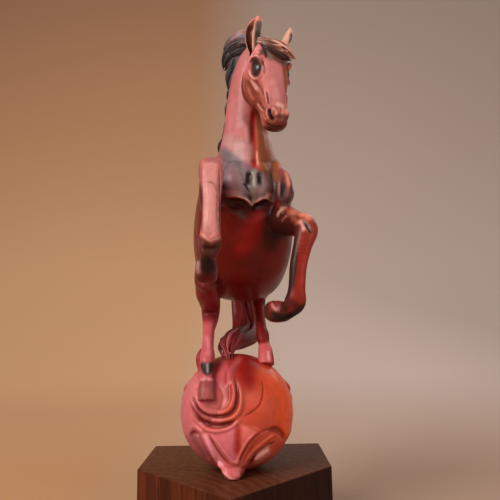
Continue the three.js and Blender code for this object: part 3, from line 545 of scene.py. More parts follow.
def body_forms():
    wide = [(at(*s[:3]), s[3] * BARREL_WIDTH / 2, *s[4:]) for s in TRUNK]
    forms = [loft(wide, sides=64, power=2.5)]
    forms.append(loft([(at(*s[:3]), s[3] * NECK_WIDTH / 2, *s[4:]) for s in NECK], sides=48))
    for side, stifle in STIFLES.items():
        beside = lambda rows, middle: placed([(middle + side * r[0], *r[1:]) for r in rows])
        out = LEFT_SHOULDER_OUT if side > 0 else (0,) * len(SHOULDER)
        shoulder = [(row[0] + more, *row[1:]) for row, more in zip(SHOULDER, out)]
        forms.append(loft(beside(shoulder, SHOULDER_MIDDLE), sides=40))
        forms.append(loft(beside(BREAST, BREAST_MIDDLE), sides=32))
        haunch = beside(HAUNCH, HAUNCH_MIDDLE)
        hip, knee = haunch[-1][0], at(*stifle)
        toward = lambda share: hip + (knee - hip) * share
        thigh = [(toward(0.36), 17, 24, 22), (toward(0.7), 13.5, 17, 17), (knee, 9.5, 11, 11),
                 (toward(1.12), 4.5, 5, 5), (toward(1.16), 0.6, 0.6, 0.6)]
        forms.append(loft(haunch + thigh, sides=40))
    for stations, power in ((RIGHT_FORE, 3), (LEFT_FORE, 2.4), (RIGHT_HIND, 2.3), (LEFT_HIND, 2.3)):
        forms.append(loft(placed(stations), sides=32, power=power))
    return forms


# ---- Head, in its own directions from the poll: to its left, out through the face, and down

POLL = at(31, 77, 345)
HEAD_LEFT = np.array([math.cos(HEAD_TURN), math.sin(HEAD_TURN), 0])
HEAD_LEVEL = np.array([math.sin(HEAD_TURN), -math.cos(HEAD_TURN), 0])
HEAD_OUT = HEAD_LEVEL * math.cos(HEAD_TILT) + UP * math.sin(HEAD_TILT)
HEAD_DOWN = HEAD_LEVEL * math.sin(HEAD_TILT) - UP * math.cos(HEAD_TILT)
HEAD_FRAME = (HEAD_LEFT, -HEAD_OUT, -HEAD_DOWN)
HEAD = [
    (-0.07, 0.2, 8, 0.5), (-0.01, 0.58, 15, 4.5), (0.1, 0.86, 22, 8), (0.22, 0.98, 27, 10.5), (0.33, 1, 30, 11.5),
    (0.46, 0.91, 30, 10.7), (0.57, 0.78, 25, 9.7), (0.67, 0.67, 17.5, 9), (0.77, 0.62, 13.4, 8.6),
    (0.865, 0.63, 11.2, 8.6), (0.93, 0.59, 9.2, 7.2), (0.966, 0.43, 6.2, 4.4), (0.98, 0.15, 2, 1),
]


def on_head(left, out, down):
    return POLL + HEAD_LEFT * left + HEAD_OUT * out + HEAD_DOWN * down


def head_path(side, *places):
    return [on_head(side * left, out, down) for left, out, down in places]


def head_forms():
    skull = [(on_head(0, 0, s[0] * HEAD_LENGTH), s[1] * HEAD_WIDTH / 2, *s[2:]) for s in HEAD]
    forms = [loft(skull, HEAD_LEFT, sides=48, power=2.4)]
    for side in (-1, 1):
        cheek = zip(head_path(side, (8, -6, 6), (10.5, -11, 18), (10.8, -13, 30), (9, -10, 41), (6.5, -4, 50)),
                    (3, 12, 14.5, 10, 3), (2, 5, 5.5, 4.5, 2))
        forms.append(lobe(list(cheek), HEAD_OUT, 28))
        forms.append(ball_form(on_head(side * 5.8, 3.4, 63.6), 4.1, 5.2, 5.8, turn=HEAD_FRAME))
        forms.append(ball_form(on_head(side * 12.4, 4.6, 21), 4, 4.6, 6, turn=HEAD_FRAME))
    forms.append(ball_form(on_head(0, -3.2, 67.4), 6.6, 5.4, 4.2, turn=HEAD_FRAME))
    return forms


def shell_form(path, radii, openings, open_to, wall=0.9, points=14):
    """A leaf curled round a path and open to one side, with a wall of even thickness: its corners and faces."""
    path = np.array(path)
    rings = 4 * (len(path) - 1)
    shares = np.linspace(0, 1, rings + 1)
    centres = spline(path, shares)
    size = spline(np.array([radii, openings]).T, shares, False)
    tangent = unit(np.gradient(centres, axis=0))
    front = unit(open_to - tangent * (tangent @ open_to)[:, None])
    side = np.cross(front, tangent)
    corners, faces = [], []
    for i in range(rings + 1):
        radius, opening = size[i]
        angle = np.linspace(opening, 2 * math.pi - opening, points)
        ring = front[i] * np.cos(angle)[:, None] + side[i] * np.sin(angle)[:, None]
        inner = max(radius - wall, 0.3 * radius)
        corners += list(centres[i] + ring * radius) + list(centres[i] + ring[::-1] * inner)
    around = 2 * points
    for i in range(rings):
        for k in range(around):
            n = (k + 1) % around
            faces.append((i * around + n, i * around + k, (i + 1) * around + k, (i + 1) * around + n))
    for first, turned in ((0, False), (rings * around, True)):
        for k in range(points - 1):
            face = (first + k, first + k + 1, first + around - 2 - k, first + around - 1 - k)
            faces.append(face[::-1] if turned else face)
    return np.array(corners), faces


# ---- Colours, as the airbrush has them

PINK = (214, 118, 116)
PALE_PINK = (232, 158, 150)
DEEP_RED = (88, 14, 12)
DARK_RED = (54, 8, 10)

HIDE = lacquer("hide_lacquer")
BALL_LACQUER = lacquer("ball_lacquer", 0.44, 0.22, 0.14)


def mirrored(path):
    """The same path on the other side of the head."""
    path = np.atleast_2d(path)
    return path - 2 * ((path - POLL) @ HEAD_LEFT)[:, None] * HEAD_LEFT


def model_head():
    head = Casting("horse_head", head_forms(), 0.6, PINK)
    head.relax(12)
    head.set_aim()
    stroke = head.stroke

    def both(pixels, radius, height, fade=True):
        """The same stroke on both sides of the head."""
        path = np.array(head.seen_path(pixels))
        head.press(path, radius, height, fade)
        head.press(mirrored(path), radius, height, fade)

    # Eye sockets, lids and brows
    eye = head.seen(255.3, 67.4)
    for place in (eye, mirrored(eye)[0]):
        head.press([place], 10, -1.6)
    both([(248.8, 67), (250.2, 60.5), (254.6, 57), (259.4, 59), (262.4, 66)], 2.0, 1.7)
    both([(249, 69), (250.6, 75), (255, 78.4), (259.6, 76.6), (262.4, 70)], 1.9, 1.1)
    both([(249.6, 60), (253, 55.8), (258, 55.4), (262, 59)], 1.0, -0.8)
    both([(247, 61), (250, 54.6), (255, 52.2), (261, 54)], 3.6, 1.4)
    both([(262.6, 60), (264.2, 67), (263.6, 74)], 1.4, -0.5)
    # Cheek bone with the hollow below it, jaw and the veins of the face
    both([(250.6, 78), (253.6, 84.5), (258.6, 93.5)], 2.6, 1.5)
    both([(255, 79.5), (259.4, 87), (263.6, 96.5)], 2.4, -1.0)
    both([(247, 80), (250, 89), (255, 98.5)], 3.2, -0.9)
    both([(246, 62), (243, 74), (241.5, 86)], 2.6, -0.8)
    both([(264.5, 90), (266, 98), (267.5, 106)], 1.2, 0.8)
    both([(268.5, 90), (269.5, 98), (270.2, 105)], 1.2, 0.8)
    both([(266.6, 91), (268, 98.5), (269, 105.5)], 1.1, -0.6)
    both([(256.6, 102.5), (260, 108), (264, 113)], 1.3, 1.0)
    both([(259.4, 101.5), (262.5, 107), (266, 111)], 1.3, -0.8)
    # Nostrils: a slit on this side, and one at the edge of the view
    stroke([(271.6, 106.6), (275.6, 110.6), (277, 117.5)], 2.5, 1.5)
    stroke([(267.4, 107.5), (266.8, 114), (269.6, 120.6)], 1.7, 1.0)
    stroke([(269.4, 109.8), (270.4, 114.4), (273, 118.6)], 2.3, -3, fade=False)
    stroke([(286.4, 107), (288, 112), (287.4, 117)], 1.9, 0.9)
    stroke([(290.6, 109.6), (290.8, 113), (289.8, 116.6)], 2, -2.2, fade=False)
    # Lips
    stroke([(263, 114), (265, 119), (268.4, 124.4)], 1.5, 0.8)
    stroke([(265.4, 119), (268, 123.6), (273, 126), (280, 126.4), (288, 124.6)], 1.3, -0.9)
    stroke([(265, 117), (269.6, 122.4), (279, 124), (288, 121.6)], 2.2, 0.6)
    stroke([(282, 106), (281, 113), (280, 121)], 2.2, -0.7)
    head.relax(1)
    return head, eye


def paint_head(head, eye):
    n = head.normals()
    p = head.points - POLL
    down, out = p @ HEAD_DOWN, p @ HEAD_OUT
    sideways = np.abs(n @ HEAD_LEFT) - 0.25 * (n @ HEAD_OUT)
    cloud = ripple(head.points, 16, 3)
    head.face_picture()
    daub, fill = head.daub, head.fill
    # All round: brown cheeks and muzzle, a dark throat and dark chin
    head.tint(blend(down + 2 * cloud, 50, 72), (124, 58, 42), 0.85)
    head.tint(blend(sideways + 0.1 * cloud, 0.3, 0.9) * blend(down, 8, 34), (166, 84, 66), 0.8)
    head.tint(blend(n @ HEAD_LEFT, 0.3, 0.8), (158, 74, 44), 0.9)
    head.tint(blend(down, 70, 76), (52, 20, 16), 0.85)
    head.tint(blend(-out, 4, 18) * blend(down, 28, 56), (70, 24, 20), 0.6)
    for place in (eye, mirrored(eye)[0]):
        head.tint(head.near([place], 9.5), (124, 64, 56), 0.8)
        head.tint(head.near([place], 6.8), (46, 26, 24), 1.4)
    # Face: pink in the middle with a painted highlight down the bridge of the nose, orange brown along its right
    # edge, painted shade under the forelock
    fill([(262, 58), (280, 62), (284, 80), (285.4, 106), (272, 104), (264, 82)], (206, 124, 118), 0.8, 3)
    daub([(272, 76), (275, 90), (279, 103)], 5, (220, 144, 138), 0.7)
    fill([(281, 61), (292, 62), (292, 108), (286.4, 107), (285.4, 92), (283.4, 76)], (164, 76, 44), 1, 1.2)
    daub([(287.6, 70), (288.6, 88), (289, 102)], 2, (112, 44, 28), 0.8)
    daub([(262, 52), (272, 56), (282, 62), (290, 64)], 4.4, (104, 54, 44), 1, False)
    daub([(264, 51), (268, 54), (271, 58)], 4.4, (120, 100, 88), 0.9, False)
    daub([(249, 54), (252, 50), (256, 48)], 3.4, (222, 158, 150), 0.7, False)
    # Eye: dark socket and lines, a pale lower lid, and a painted highlight along the upper lid and brow
    for radius, colour, share in ((7.2, (120, 60, 52), 0.8), (5.4, (44, 24, 22), 1.25)):
        daub([(255.2, 61.4), (255.4, 67), (256, 73)], radius, colour, share, False)
    daub([(249.6, 63), (252.6, 58.2), (256.6, 57.2), (260.4, 60.6)], 1.2, (60, 30, 28), 1.2)
    daub([(248.6, 63), (250.6, 57), (255, 54.6), (260, 56.4)], 1.7, (228, 160, 150), 1)
    daub([(248.9, 69), (250.4, 75), (254.6, 79), (259, 78)], 1.5, (226, 160, 152), 1)
    daub([(262.4, 62), (265, 68), (264, 75)], 1.6, (122, 58, 50), 1)
    # Cheek: brown, with a painted highlight on the bone, painted shade in the hollow below it and along the jaw,
    # and on the veins painted highlights on the ridges and painted shade in the grooves
    fill([(244, 78), (250, 80), (255, 88), (261, 100), (265, 112), (256, 110), (249, 104), (244, 94)],
         (132, 60, 44), 0.9)
    daub([(247.6, 86), (250, 94), (254, 101)], 3, (176, 92, 72), 0.8)
    daub([(250.4, 78), (253.4, 84.5), (258, 93)], 2.1, (196, 126, 112), 0.8)
    daub([(255.4, 81), (259.6, 88), (263, 96)], 1.6, (122, 58, 48), 0.9)
    daub([(243.6, 64), (241.8, 78), (242.6, 92), (248, 103), (256, 110)], 2.2, (96, 36, 36), 1)
    for painted_shade, painted_highlight in (([(266.6, 92), (268, 98.5), (269, 105)], [(264.8, 91), (266.2, 98), (267.4, 104)]),
                       ([(259.4, 102), (262.6, 107), (266, 111)], [(257, 102.5), (260, 107.6), (263, 111)])):
        daub(painted_shade, 1.3, (132, 66, 56), 0.8)
        daub(painted_highlight, 1.2, (218, 148, 136), 0.8)
    # Muzzle: a pale bridge between the nostrils with a painted highlight on it, then brown down to a dark chin, and
    # painted highlights on the nostrils' rims
    fill([(274, 103), (288, 104), (290, 110), (286, 114.6), (277, 114)], (222, 130, 106), 0.95, 2)
    daub([(275, 103), (280, 105), (285, 108)], 3.4, (248, 184, 168), 0.95)
    daub([(286.6, 72), (287.4, 88), (287.8, 100)], 2, (178, 96, 64), 0.7)
    fill([(268, 119), (279, 115), (290, 115), (291, 122), (289, 128), (268, 128), (264, 121)], (122, 54, 38), 1)
    daub([(276, 118), (281, 120), (284, 119)], 3.4, (150, 74, 54), 0.8)
    fill([(264, 127), (290, 126.6), (290, 136), (262, 136)], (88, 40, 32), 1, 1.6)
    daub([(265.4, 119), (268, 123.6), (273, 126), (280, 126.4), (288, 124.6)], 1.4, (52, 18, 16), 0.8)
    daub([(269.4, 110), (270.2, 114), (272.4, 118)], 2.2, (24, 10, 14), 1.6, False)
    daub([(270.4, 114), (271, 117)], 1, (112, 84, 92), 0.8, False)
    daub([(267, 107.6), (266.4, 113), (268.4, 119)], 1.2, (208, 140, 126), 0.7)
    daub([(272, 107.4), (275.4, 111), (276.6, 116)], 1.3, (226, 156, 140), 0.9)
    daub([(290.6, 109), (291.2, 113), (290, 117)], 2, (40, 16, 14), 1.4, False)
    # Darker in the creases, the patina with painted shade in it, and paler on the edges
    crease = head.hollows()
    head.tint(np.clip(crease, 0, 1), DARK_RED, 0.7)
    head.tint(np.clip(-crease, 0, 1), PALE_PINK, 0.25)


def model_body():
    body = Casting("horse_body", body_forms(), 0.9, DEEP_RED)
    body.relax(14)
    body.set_aim()
    stroke = body.stroke
    # Neck: the groove down its front
    stroke([(249, 112), (252, 130), (253, 150), (254, 172)], 5.5, -1.8)
    stroke([(246, 120), (247, 140), (248, 160), (249, 170)], 7, 1.0)
    stroke([(260, 125), (262, 145), (262, 165)], 7, 0.8)
    # Breast: two pads that overhang the belly, with dimples above
    stroke([(232, 178), (240, 188), (246, 192)], 15, 2.2, False)
    stroke([(262, 188), (268, 186)], 12, 2.4, False)
    stroke([(252, 170), (251, 188), (250, 205)], 3.6, -1.8)
    stroke([(222, 196.5), (236, 196), (243, 198), (250, 204.5), (256, 202), (263, 199), (272, 202)], 4.2, 2.2)
    stroke([(221, 205), (236, 205), (250, 214), (264, 208), (274, 210)], 8, -3.4)
    stroke([(248.5, 175), (247.5, 183.5)], 3.0, -1.6, False)
    stroke([(259, 175), (259.5, 183.5)], 3.0, -1.6, False)
    stroke([(245, 174), (244.5, 184)], 1.8, 0.6)
    stroke([(242, 183), (248, 188)], 1.3, -0.8)
    # Shoulder and elbow
    stroke([(284, 174), (284, 190), (283, 206)], 4, -2.2)
    stroke([(289, 172), (292, 188), (291, 204)], 4.5, 1.2)
    stroke([(277, 178), (277, 192), (276, 205)], 3.6, 1.0)
    stroke([(277, 222), (281, 215), (287, 210)], 2, -1.2)
    stroke([(276, 217), (279, 211), (285, 207)], 2.2, 1.0)
    stroke([(279, 160), (284, 168), (288, 178), (290.6, 192), (290, 206)], 9, 1.7)
    # Right foreleg: a flat shin with a tendon line, the folded pastern below
    stroke([(217.5, 166), (218, 200), (217.5, 236)], 1.5, -0.9)
    stroke([(203.5, 170), (205, 200), (204, 232)], 1.8, -0.5)
    stroke([(207, 182), (215, 184)], 1.1, -0.5)
    stroke([(202, 235), (210, 239), (220, 235)], 3, 1.0)
    stroke([(201, 246), (210, 249), (219, 246)], 2.8, -1.6)
    stroke([(204, 254), (209, 258), (214, 256)], 4, 0.9)
    # Left foreleg: knee dents, wrinkled shin
    stroke([(304, 221), (307.5, 227), (311, 233)], 2.6, -1.5)
    stroke([(300, 219), (304, 226), (307, 233)], 2.2, 0.7)
    for i in range(6):
        stroke([(296, 241 + 4 * i), (303, 242.5 + 4 * i), (310, 241 + 4 * i)], 1.2, -0.35)
    stroke([(283, 299), (285.6, 306), (284, 314)], 2.2, -1.2)
    stroke([(268, 303), (272, 309), (279, 313)], 2, 0.8)
    # Hind legs: hock, tendon, pastern and the coronet above the hoof
    stroke([(206, 336), (207, 350)], 1.6, -0.6)
    stroke([(200, 378), (207, 379.5), (214, 378)], 1.6, -1.0)
    stroke([(201, 375), (207, 376), (213, 375)], 1.8, 0.8)
    stroke([(258, 346), (264, 348), (270, 346)], 1.4, -0.8)
    # Seams smoothed away: left foreleg to belly, right thigh to belly, and the lifted hoof
    for rounds, radius, pixels in ((40, 8, [(272, 203), (268.4, 210), (267.6, 220), (268.4, 230), (272, 238)]),
                                   (16, 4, [(218, 278), (219.4, 286), (220.6, 292), (221.4, 297)]),
                                   (20, 8, [(198, 287), (204, 290), (211, 291)])):
        body.relax(rounds, body.near(body.seen_path(pixels), radius, False))
    body.relax(1)
    return body


def of_leg(body, stations, high=0.93):
    """1 on a leg and 0 off it, up to a share of its length."""
    line = spline(np.array([at(*row[:3]) for row in stations]), np.linspace(0, high, 40))
    distance, share = to_path(body.points, line)
    reach = np.interp(share * high * (len(stations) - 1), range(len(stations)), [max(row[3:]) for row in stations])
    return blend(reach * 1.2 + 2 - distance, 0, 2.2)


def paint_body(body):
    n = body.normals()
    up = body.points[:, 2] - FIGURE_FLOOR
    ahead = -body.points[:, 1]
    cloud = ripple(body.points, 38, 4)
    fine = ripple(body.points, 13, 9)
    body.face_picture()
    right_fore, left_fore = of_leg(body, RIGHT_FORE, 0.76), of_leg(body, LEFT_FORE, 0.9)
    right_hind, left_hind = of_leg(body, RIGHT_HIND), of_leg(body, LEFT_HIND)
    trunk = 1 - np.maximum.reduce([right_fore, left_fore, right_hind, left_hind])
    body.part = trunk
    daub, fill = body.daub, body.fill
    # All round: a rose back, red flanks and a deep red belly, the airbrush's tones with painted light where the
    # skin faces up and painted shade where it faces down, and a dark wash along the spine
    body.tint(blend(n[:, 2] + 0.12 * cloud, -0.3, 0.5), (132, 30, 26), 0.85)
    body.tint(blend(n[:, 2] + 0.14 * cloud + 0.05 * fine, 0.3, 0.95), (186, 80, 74), 0.85)
    body.tint(blend(np.abs(n[:, 0]) + 0.12 * cloud, 0.6, 1) * blend(up, 150, 215), (150, 52, 48), 0.6)
    spine = blend(8 - np.abs(body.points[:, 0] - 8) + 3 * cloud, 0, 8) * blend(n[:, 2], 0.1, 0.7)
    body.tint(spine, (62, 34, 36), 0.7)
    body.tint(blend(-ahead, 52, 74), (112, 32, 30), 0.7)
    # Belly: deep red, with painted shade where it faces down and under the breast, a painted sheen across it and
    # along its right edge, and painted shadow under the left forearm
    body.tint(blend(-n[:, 2], -0.1, 0.8) * trunk, (78, 10, 9), 0.8)
    fill([(223, 196), (300, 200), (296, 262), (262, 300), (222, 296), (196, 262), (198, 200)],
         (104, 15, 8), 0.95, 8)
    daub([(266, 208), (256, 224), (246, 242), (238, 262)], 15, (158, 20, 16), 0.95)
    daub([(276, 206), (271, 224), (271, 244)], 13, (50, 13, 9), 0.8, False)
    daub([(228, 232), (246, 240), (262, 232)], 12, (128, 22, 18), 0.5)
    daub([(226, 208), (240, 210), (248, 216)], 11, (66, 16, 8), 0.8)
    daub([(250, 262), (258, 272), (250, 284)], 16, (84, 12, 8), 0.7, False)
    daub([(199, 276), (222, 295), (248, 300), (272, 293)], 5, (118, 50, 50), 0.6)
    daub([(292, 240), (291, 262), (284, 284), (272, 296)], 6, (60, 16, 12), 0.9)
    daub([(289.6, 246), (288.6, 262), (284, 278)], 1.8, (112, 62, 54), 0.5)
    daub([(203, 262), (216, 276), (230, 284)], 9, (92, 24, 26), 0.6)
    daub([(199, 190), (196, 220), (194, 250), (196, 274)], 6, (110, 52, 54), 0.8)
    daub([(197, 164), (196, 186), (196, 210)], 6, (92, 46, 46), 1)
    # Neck: painted shade down the groove in its front, a painted highlight on the ridge beside it, and a soft
    # painted shadow low on its left
    neck = blend(up + 0.35 * (60 - ahead), 232, 250)
    body.tint(neck, (188, 108, 106))
    body.tint(neck * blend(-n[:, 0], 0.5, 0.95), (176, 92, 92), 0.5)
    body.tint(neck * blend(n[:, 0], 0.3, 0.9), (128, 66, 30), 0.95)
    body.tint(neck * blend(n[:, 1], 0.1, 0.8), (40, 28, 28), 0.7)
    fill([(256, 104), (285, 104), (290, 160), (296, 184), (276, 184), (262, 176), (257, 150)], (146, 70, 26), 1, 3)
    daub([(266, 128), (270, 148), (277, 166)], 6, (168, 92, 42), 0.8)
    daub([(252.5, 106), (252.5, 125), (253.5, 150), (254, 172)], 4.6, (176, 44, 30), 1.5)
    daub([(253, 108), (252.4, 122), (253, 140)], 3, (112, 20, 16), 1)
    daub([(246, 118), (247.5, 135), (248.5, 158)], 4, (214, 146, 138), 0.8)
    daub([(236, 100), (242, 112), (243, 128)], 8, (164, 102, 98), 0.6)
    daub([(257, 150), (257, 158), (258, 166)], 1.5, (240, 150, 120), 1.2)
    daub([(233, 96), (230, 118), (228, 138)], 6, (198, 118, 120), 0.7)
    daub([(242, 146), (240, 160), (236, 172)], 11, (150, 108, 112), 0.75, False)
    daub([(225, 154), (231, 156), (238, 162)], 7, (112, 112, 104), 0.85, False)
    # Breast: a grey and lilac wash over pink, which stops at the edge of the pads, with a painted highlight along
    # that edge, painted shadow beneath it and a painted highlight at its right end
    edge = [(222, 197), (236, 196), (242, 197.5), (248, 200.5), (251.5, 205), (256, 202), (265, 197.5), (271, 201),
            (277, 206)]
    fill([(222, 152), (234, 155), (246, 162), (253, 168), (262, 172), (277, 180), (279, 206)] + edge[::-1],
         (132, 96, 100), 1, 1.4)
    daub([(262, 166), (272, 172), (278, 182)], 9, (128, 70, 40), 0.9)
    daub([(228, 142), (238, 148), (247, 154)], 12, (188, 138, 132), 0.9, False)
    daub([(251, 140), (250, 152), (249, 162)], 5, (226, 152, 144), 0.8)
    daub([(224, 152), (230, 158), (236, 164)], 8, (112, 100, 100), 0.9, False)
    daub([(232, 174), (237, 186)], 11, (136, 92, 98), 0.7, False)
    daub([(226, 168), (226, 190)], 6, (118, 94, 100), 0.8, False)
    daub([(240, 170), (244, 184), (243, 192)], 8, (136, 120, 116), 0.85, False)
    daub([(253.6, 172), (253.4, 188), (252, 200)], 6, (120, 112, 104), 0.95, False)
    daub([(262, 184), (266, 194)], 7, (138, 116, 112), 0.85, False)
    daub([(262, 190), (260, 196)], 4, (160, 140, 136), 0.6, False)
    daub([(268, 174), (270, 180), (271, 190)], 7, (84, 52, 40), 0.9, False)
    daub([(276, 178), (276.5, 196), (277, 206)], 4, (48, 26, 22), 1.1)
    daub([(224, 192), (232, 192.6), (240, 193)], 4, (184, 122, 124), 0.8, False)
    daub(edge, 1.7, (232, 168, 156), 1.2)
    daub([(x, y + 4.2) for x, y in edge], 4, (44, 8, 6), 1)
    for x in (248.2, 259.4):
        daub([(x, 173.6), (x, 183.4)], 4.4, (66, 58, 54), 1.2, False)
        daub([(x, 175.4), (x - 0.4, 182)], 2.5, (22, 16, 16), 1.4, False)
    daub([(251, 170), (253.6, 177), (253.4, 186)], 1.7, (186, 170, 158), 0.8)
    daub([(242, 183), (246, 186), (249, 192)], 1.7, (36, 22, 22), 1.1)
    daub([(265, 194), (268, 195.4), (270, 199)], 4.4, (216, 142, 128), 0.8)
    # Left shoulder: dark grooves between bands of painted highlight
    fill([(277, 166), (288, 164), (295, 176), (296, 206), (279, 210)], (134, 68, 56), 1, 2)
    daub([(277, 166), (283, 166), (287, 171)], 4.6, (196, 132, 104), 0.85)
    daub([(284.6, 170), (288, 178), (289.4, 189)], 3.4, (230, 144, 116), 1)
    daub([(291.4, 184), (292.4, 196), (293, 206)], 2.4, (74, 34, 28), 1)
    daub([(283.6, 181), (283.2, 193), (283.4, 205)], 4.6, (56, 40, 38), 1.1)
    daub([(279.4, 180), (279.2, 190), (279.6, 198)], 1.4, (196, 170, 160), 0.8)
    # Left foreleg: painted shadow on its side towards the belly and under the elbow, and painted highlight and
    # shade on the elbow's fold and the knee
    body.part = left_fore
    body.tint(left_fore, (134, 32, 18))
    body.tint(left_fore * blend(n[:, 0], 0.1, 0.8), (166, 46, 24), 0.9)
    body.tint(left_fore * blend(-n[:, 0], 0.2, 0.7), (64, 16, 10), 1)
    body.part = 1.0
    fill([(279, 196), (293, 196), (294, 207), (280, 207)], (84, 50, 40), 0.95, 2)
    daub([(279, 209), (283, 207.6), (288, 208)], 2.6, (164, 114, 98), 1)
    body.part = left_fore
    daub([(284, 214), (296, 212), (306, 213), (315, 222)], 7, (204, 116, 84), 0.9)
    daub([(290, 219), (295, 220), (298, 226)], 5, (178, 92, 70), 0.7)
    # The knee: a painted highlight, and painted shade in its dent
    daub([(298, 214), (305, 214), (312, 220)], 6, (232, 134, 104), 0.9)
    daub([(298, 219), (303, 225), (305, 232)], 4.5, (232, 160, 142), 0.9)
    daub([(302, 218), (306.4, 224.6), (311, 233)], 4, (150, 116, 104), 1)
    daub([(305, 223), (308.4, 228.6), (311.4, 234)], 2.3, (40, 30, 28), 1.3)
    # The elbow's fold: a painted highlight on its ridge and painted shade in its crease
    daub([(276.6, 218), (279.4, 212), (285, 208)], 2.4, (214, 160, 144), 0.9)
    daub([(278, 222), (281.6, 215.4), (287, 211)], 2.2, (70, 28, 20), 0.9)
    daub([(281, 223), (284, 218), (288, 215)], 2, (190, 128, 110), 0.6)
    body.part = 1.0
    # Painted shadow under the elbow, on the belly
    daub([(296, 232), (286, 231), (278, 233), (272, 240)], 12, (36, 10, 7), 0.9)
    daub([(270, 206), (269, 218), (271, 232)], 6, (52, 14, 8), 1)
    body.part = left_fore
    daub([(306, 250), (304, 270), (299, 292)], 5, (172, 44, 24), 0.8)
    # Painted shadow on the cannon's side towards the belly, made less glossy too
    cannon_shadow_side = [(294.6, 236), (294.2, 256), (292.4, 276), (289, 294)]
    daub(cannon_shadow_side, 5, (46, 10, 7), 1.5)
    body.shine(body.streak(cannon_shadow_side, 5) * 1.5, 0)
    daub([(286, 300), (296, 306), (303, 312)], 7, (74, 18, 18), 0.9, False)
    daub([(276, 302), (274, 310)], 8, (138, 46, 44), 1, False)
    daub([(271, 302), (273.6, 307), (277, 310)], 2.4, (212, 140, 130), 0.8)
    for i in range(2):
        daub([(272 + 5 * i, 298), (274.6 + 5 * i, 303.6), (279 + 4 * i, 308)], 1.9, (104, 34, 34), 0.8)
    daub([(285, 298), (282.6, 305), (284, 313)], 1.8, (60, 14, 14), 1)
    fill([(272, 311), (280, 313.4), (290, 313), (299, 308), (306, 302), (306, 320), (290, 326), (272, 322)],
         (24, 10, 11), 1, 2.4)
    # Right foreleg: a pale shin with a painted highlight and a dark line down it and painted shade along its left
    # edge; it ends in a point over the pastern, which is painted dark as shade
    body.part = right_fore
    body.tint(right_fore, (168, 80, 70))
    body.tint(right_fore * blend(-n[:, 0], 0.2, 0.8), (132, 60, 60), 0.9)
    fill([(199, 156), (225, 156), (225, 236), (217, 239.6), (209, 242), (199, 234)], (190, 100, 92), 1, 1.2)
    fill([(203, 162), (217.6, 162), (218, 232), (210, 238), (203.6, 230)], (208, 132, 124), 0.95, 2)
    daub([(209.4, 170), (209.6, 200), (208.6, 228)], 4.8, (214, 146, 134), 0.9)
    daub([(202, 162), (211, 160), (221, 162)], 3.4, (168, 96, 92), 0.9)
    daub([(201.6, 160), (201, 180), (203, 206)], 2, (146, 84, 92), 0.8)
    daub([(201.6, 184), (202, 210), (201.6, 234)], 1.8, (104, 54, 50), 0.9)
    daub([(218.8, 166), (219.4, 200), (219, 233)], 1.0, (84, 40, 34), 1.4)
    daub([(220.4, 166), (221, 200), (220.6, 230)], 0.9, (228, 154, 136), 0.9)
    daub([(223, 168), (223, 200), (223.4, 232)], 2, (158, 82, 72), 0.9)
    daub([(207, 181.6), (212, 182.6), (215, 186), (217, 192)], 1.4, (150, 88, 76), 0.8)
    daub([(200, 233), (205, 237.4), (210, 240.4), (217, 238.6), (224, 235)], 1.7, (216, 160, 144), 0.8)
    fill([(199, 237), (205, 240.4), (211, 243.6), (218, 241.4), (226, 238), (226, 254), (199, 254)],
         (72, 35, 25), 1, 1.8)
    daub([(203, 240), (202, 248), (203, 254)], 2.6, (120, 62, 62), 0.8, False)
    fill([(194, 254), (224, 253), (226, 288), (192, 288)], (92, 32, 34), 1, 2.5)
    daub([(206, 261), (208, 267)], 10, (34, 18, 20), 1.5, False)
    # A painted highlight on the left of the hoof
    daub([(198.6, 259), (197.8, 267), (199.6, 276)], 4, (168, 124, 126), 1)
    daub([(202, 281), (212, 282), (220, 278)], 3.4, (112, 44, 46), 0.8)
    # Right hind leg, with painted highlights on the dark fetlock and on the hoof
    body.part = right_hind
    body.tint(right_hind, (196, 84, 88))
    body.tint(right_hind * blend(up, 128, 150), (116, 30, 34))
    body.tint(right_hind * blend(n[:, 0], 0.2, 0.8), (150, 44, 48), 0.6)
    daub([(206, 334), (208, 346), (208, 358)], 4.5, (222, 120, 124), 0.9)
    fill([(192, 284), (226, 284), (222, 312), (216, 321), (198, 322)], (124, 29, 33), 0.95, 4)
    daub([(203.6, 366), (207, 371), (211.4, 366)], 6, (34, 26, 28), 1.3, False)
    daub([(207.4, 364.4), (207.6, 372)], 2.2, (150, 136, 126), 1.1, False)
    daub([(201, 380), (207, 379), (214, 380)], 3, (216, 140, 138), 0.9, False)
    fill([(198, 381), (217, 381), (219, 403), (196, 403)], (150, 66, 64), 0.95, 1.5)
    daub([(207, 386), (207.5, 398)], 4, (178, 90, 84), 0.7)
    # Left hind leg, with a painted highlight down the hoof
    body.part = left_hind
    body.tint(left_hind, (122, 18, 16))
    body.tint(left_hind * blend(n[:, 0], 0.2, 0.9), (90, 12, 12), 0.7)
    daub([(259, 320), (260, 334)], 3, (160, 34, 44), 0.8)
    fill([(254, 344), (272, 342), (273, 370), (254, 364)], (208, 92, 92), 0.95, 2)
    daub([(268, 350), (269, 362)], 2.2, (236, 170, 160), 0.9)
    # The flank below the lifted hoof
    body.part = trunk
    daub([(200, 300), (206, 290), (218, 296)], 12, (128, 40, 46), 0.8, False)
    # Darker in the creases, the patina with painted shade in it, and paler on the edges
    crease = body.hollows()
    body.tint(np.clip(crease, 0, 1), (34, 8, 10), 0.6)
    body.tint(np.clip(-crease, 0, 1), (224, 140, 130), 0.16)
    body.shine(np.ones(len(n)), 0.5 + 0.2 * fine)
    body.shine(trunk * blend(-n[:, 2], -0.2, 0.5), 0.8)


body = model_body()
paint_body(body)
body.finish(HIDE, "deep_red_lacquer", "trunk", "neck", "foreleg_right", "foreleg_left", "hind_leg_right",
            "hind_leg_left", share=0.66)
head, eye_place = model_head()
paint_head(head, eye_place)
head.finish(HIDE, "pink_lacquer", "head")


# Half the angle at which an ear is open, from its foot to its tip
EAR_OPENINGS = np.radians((24, 40, 56, 60, 57, 46, 30))


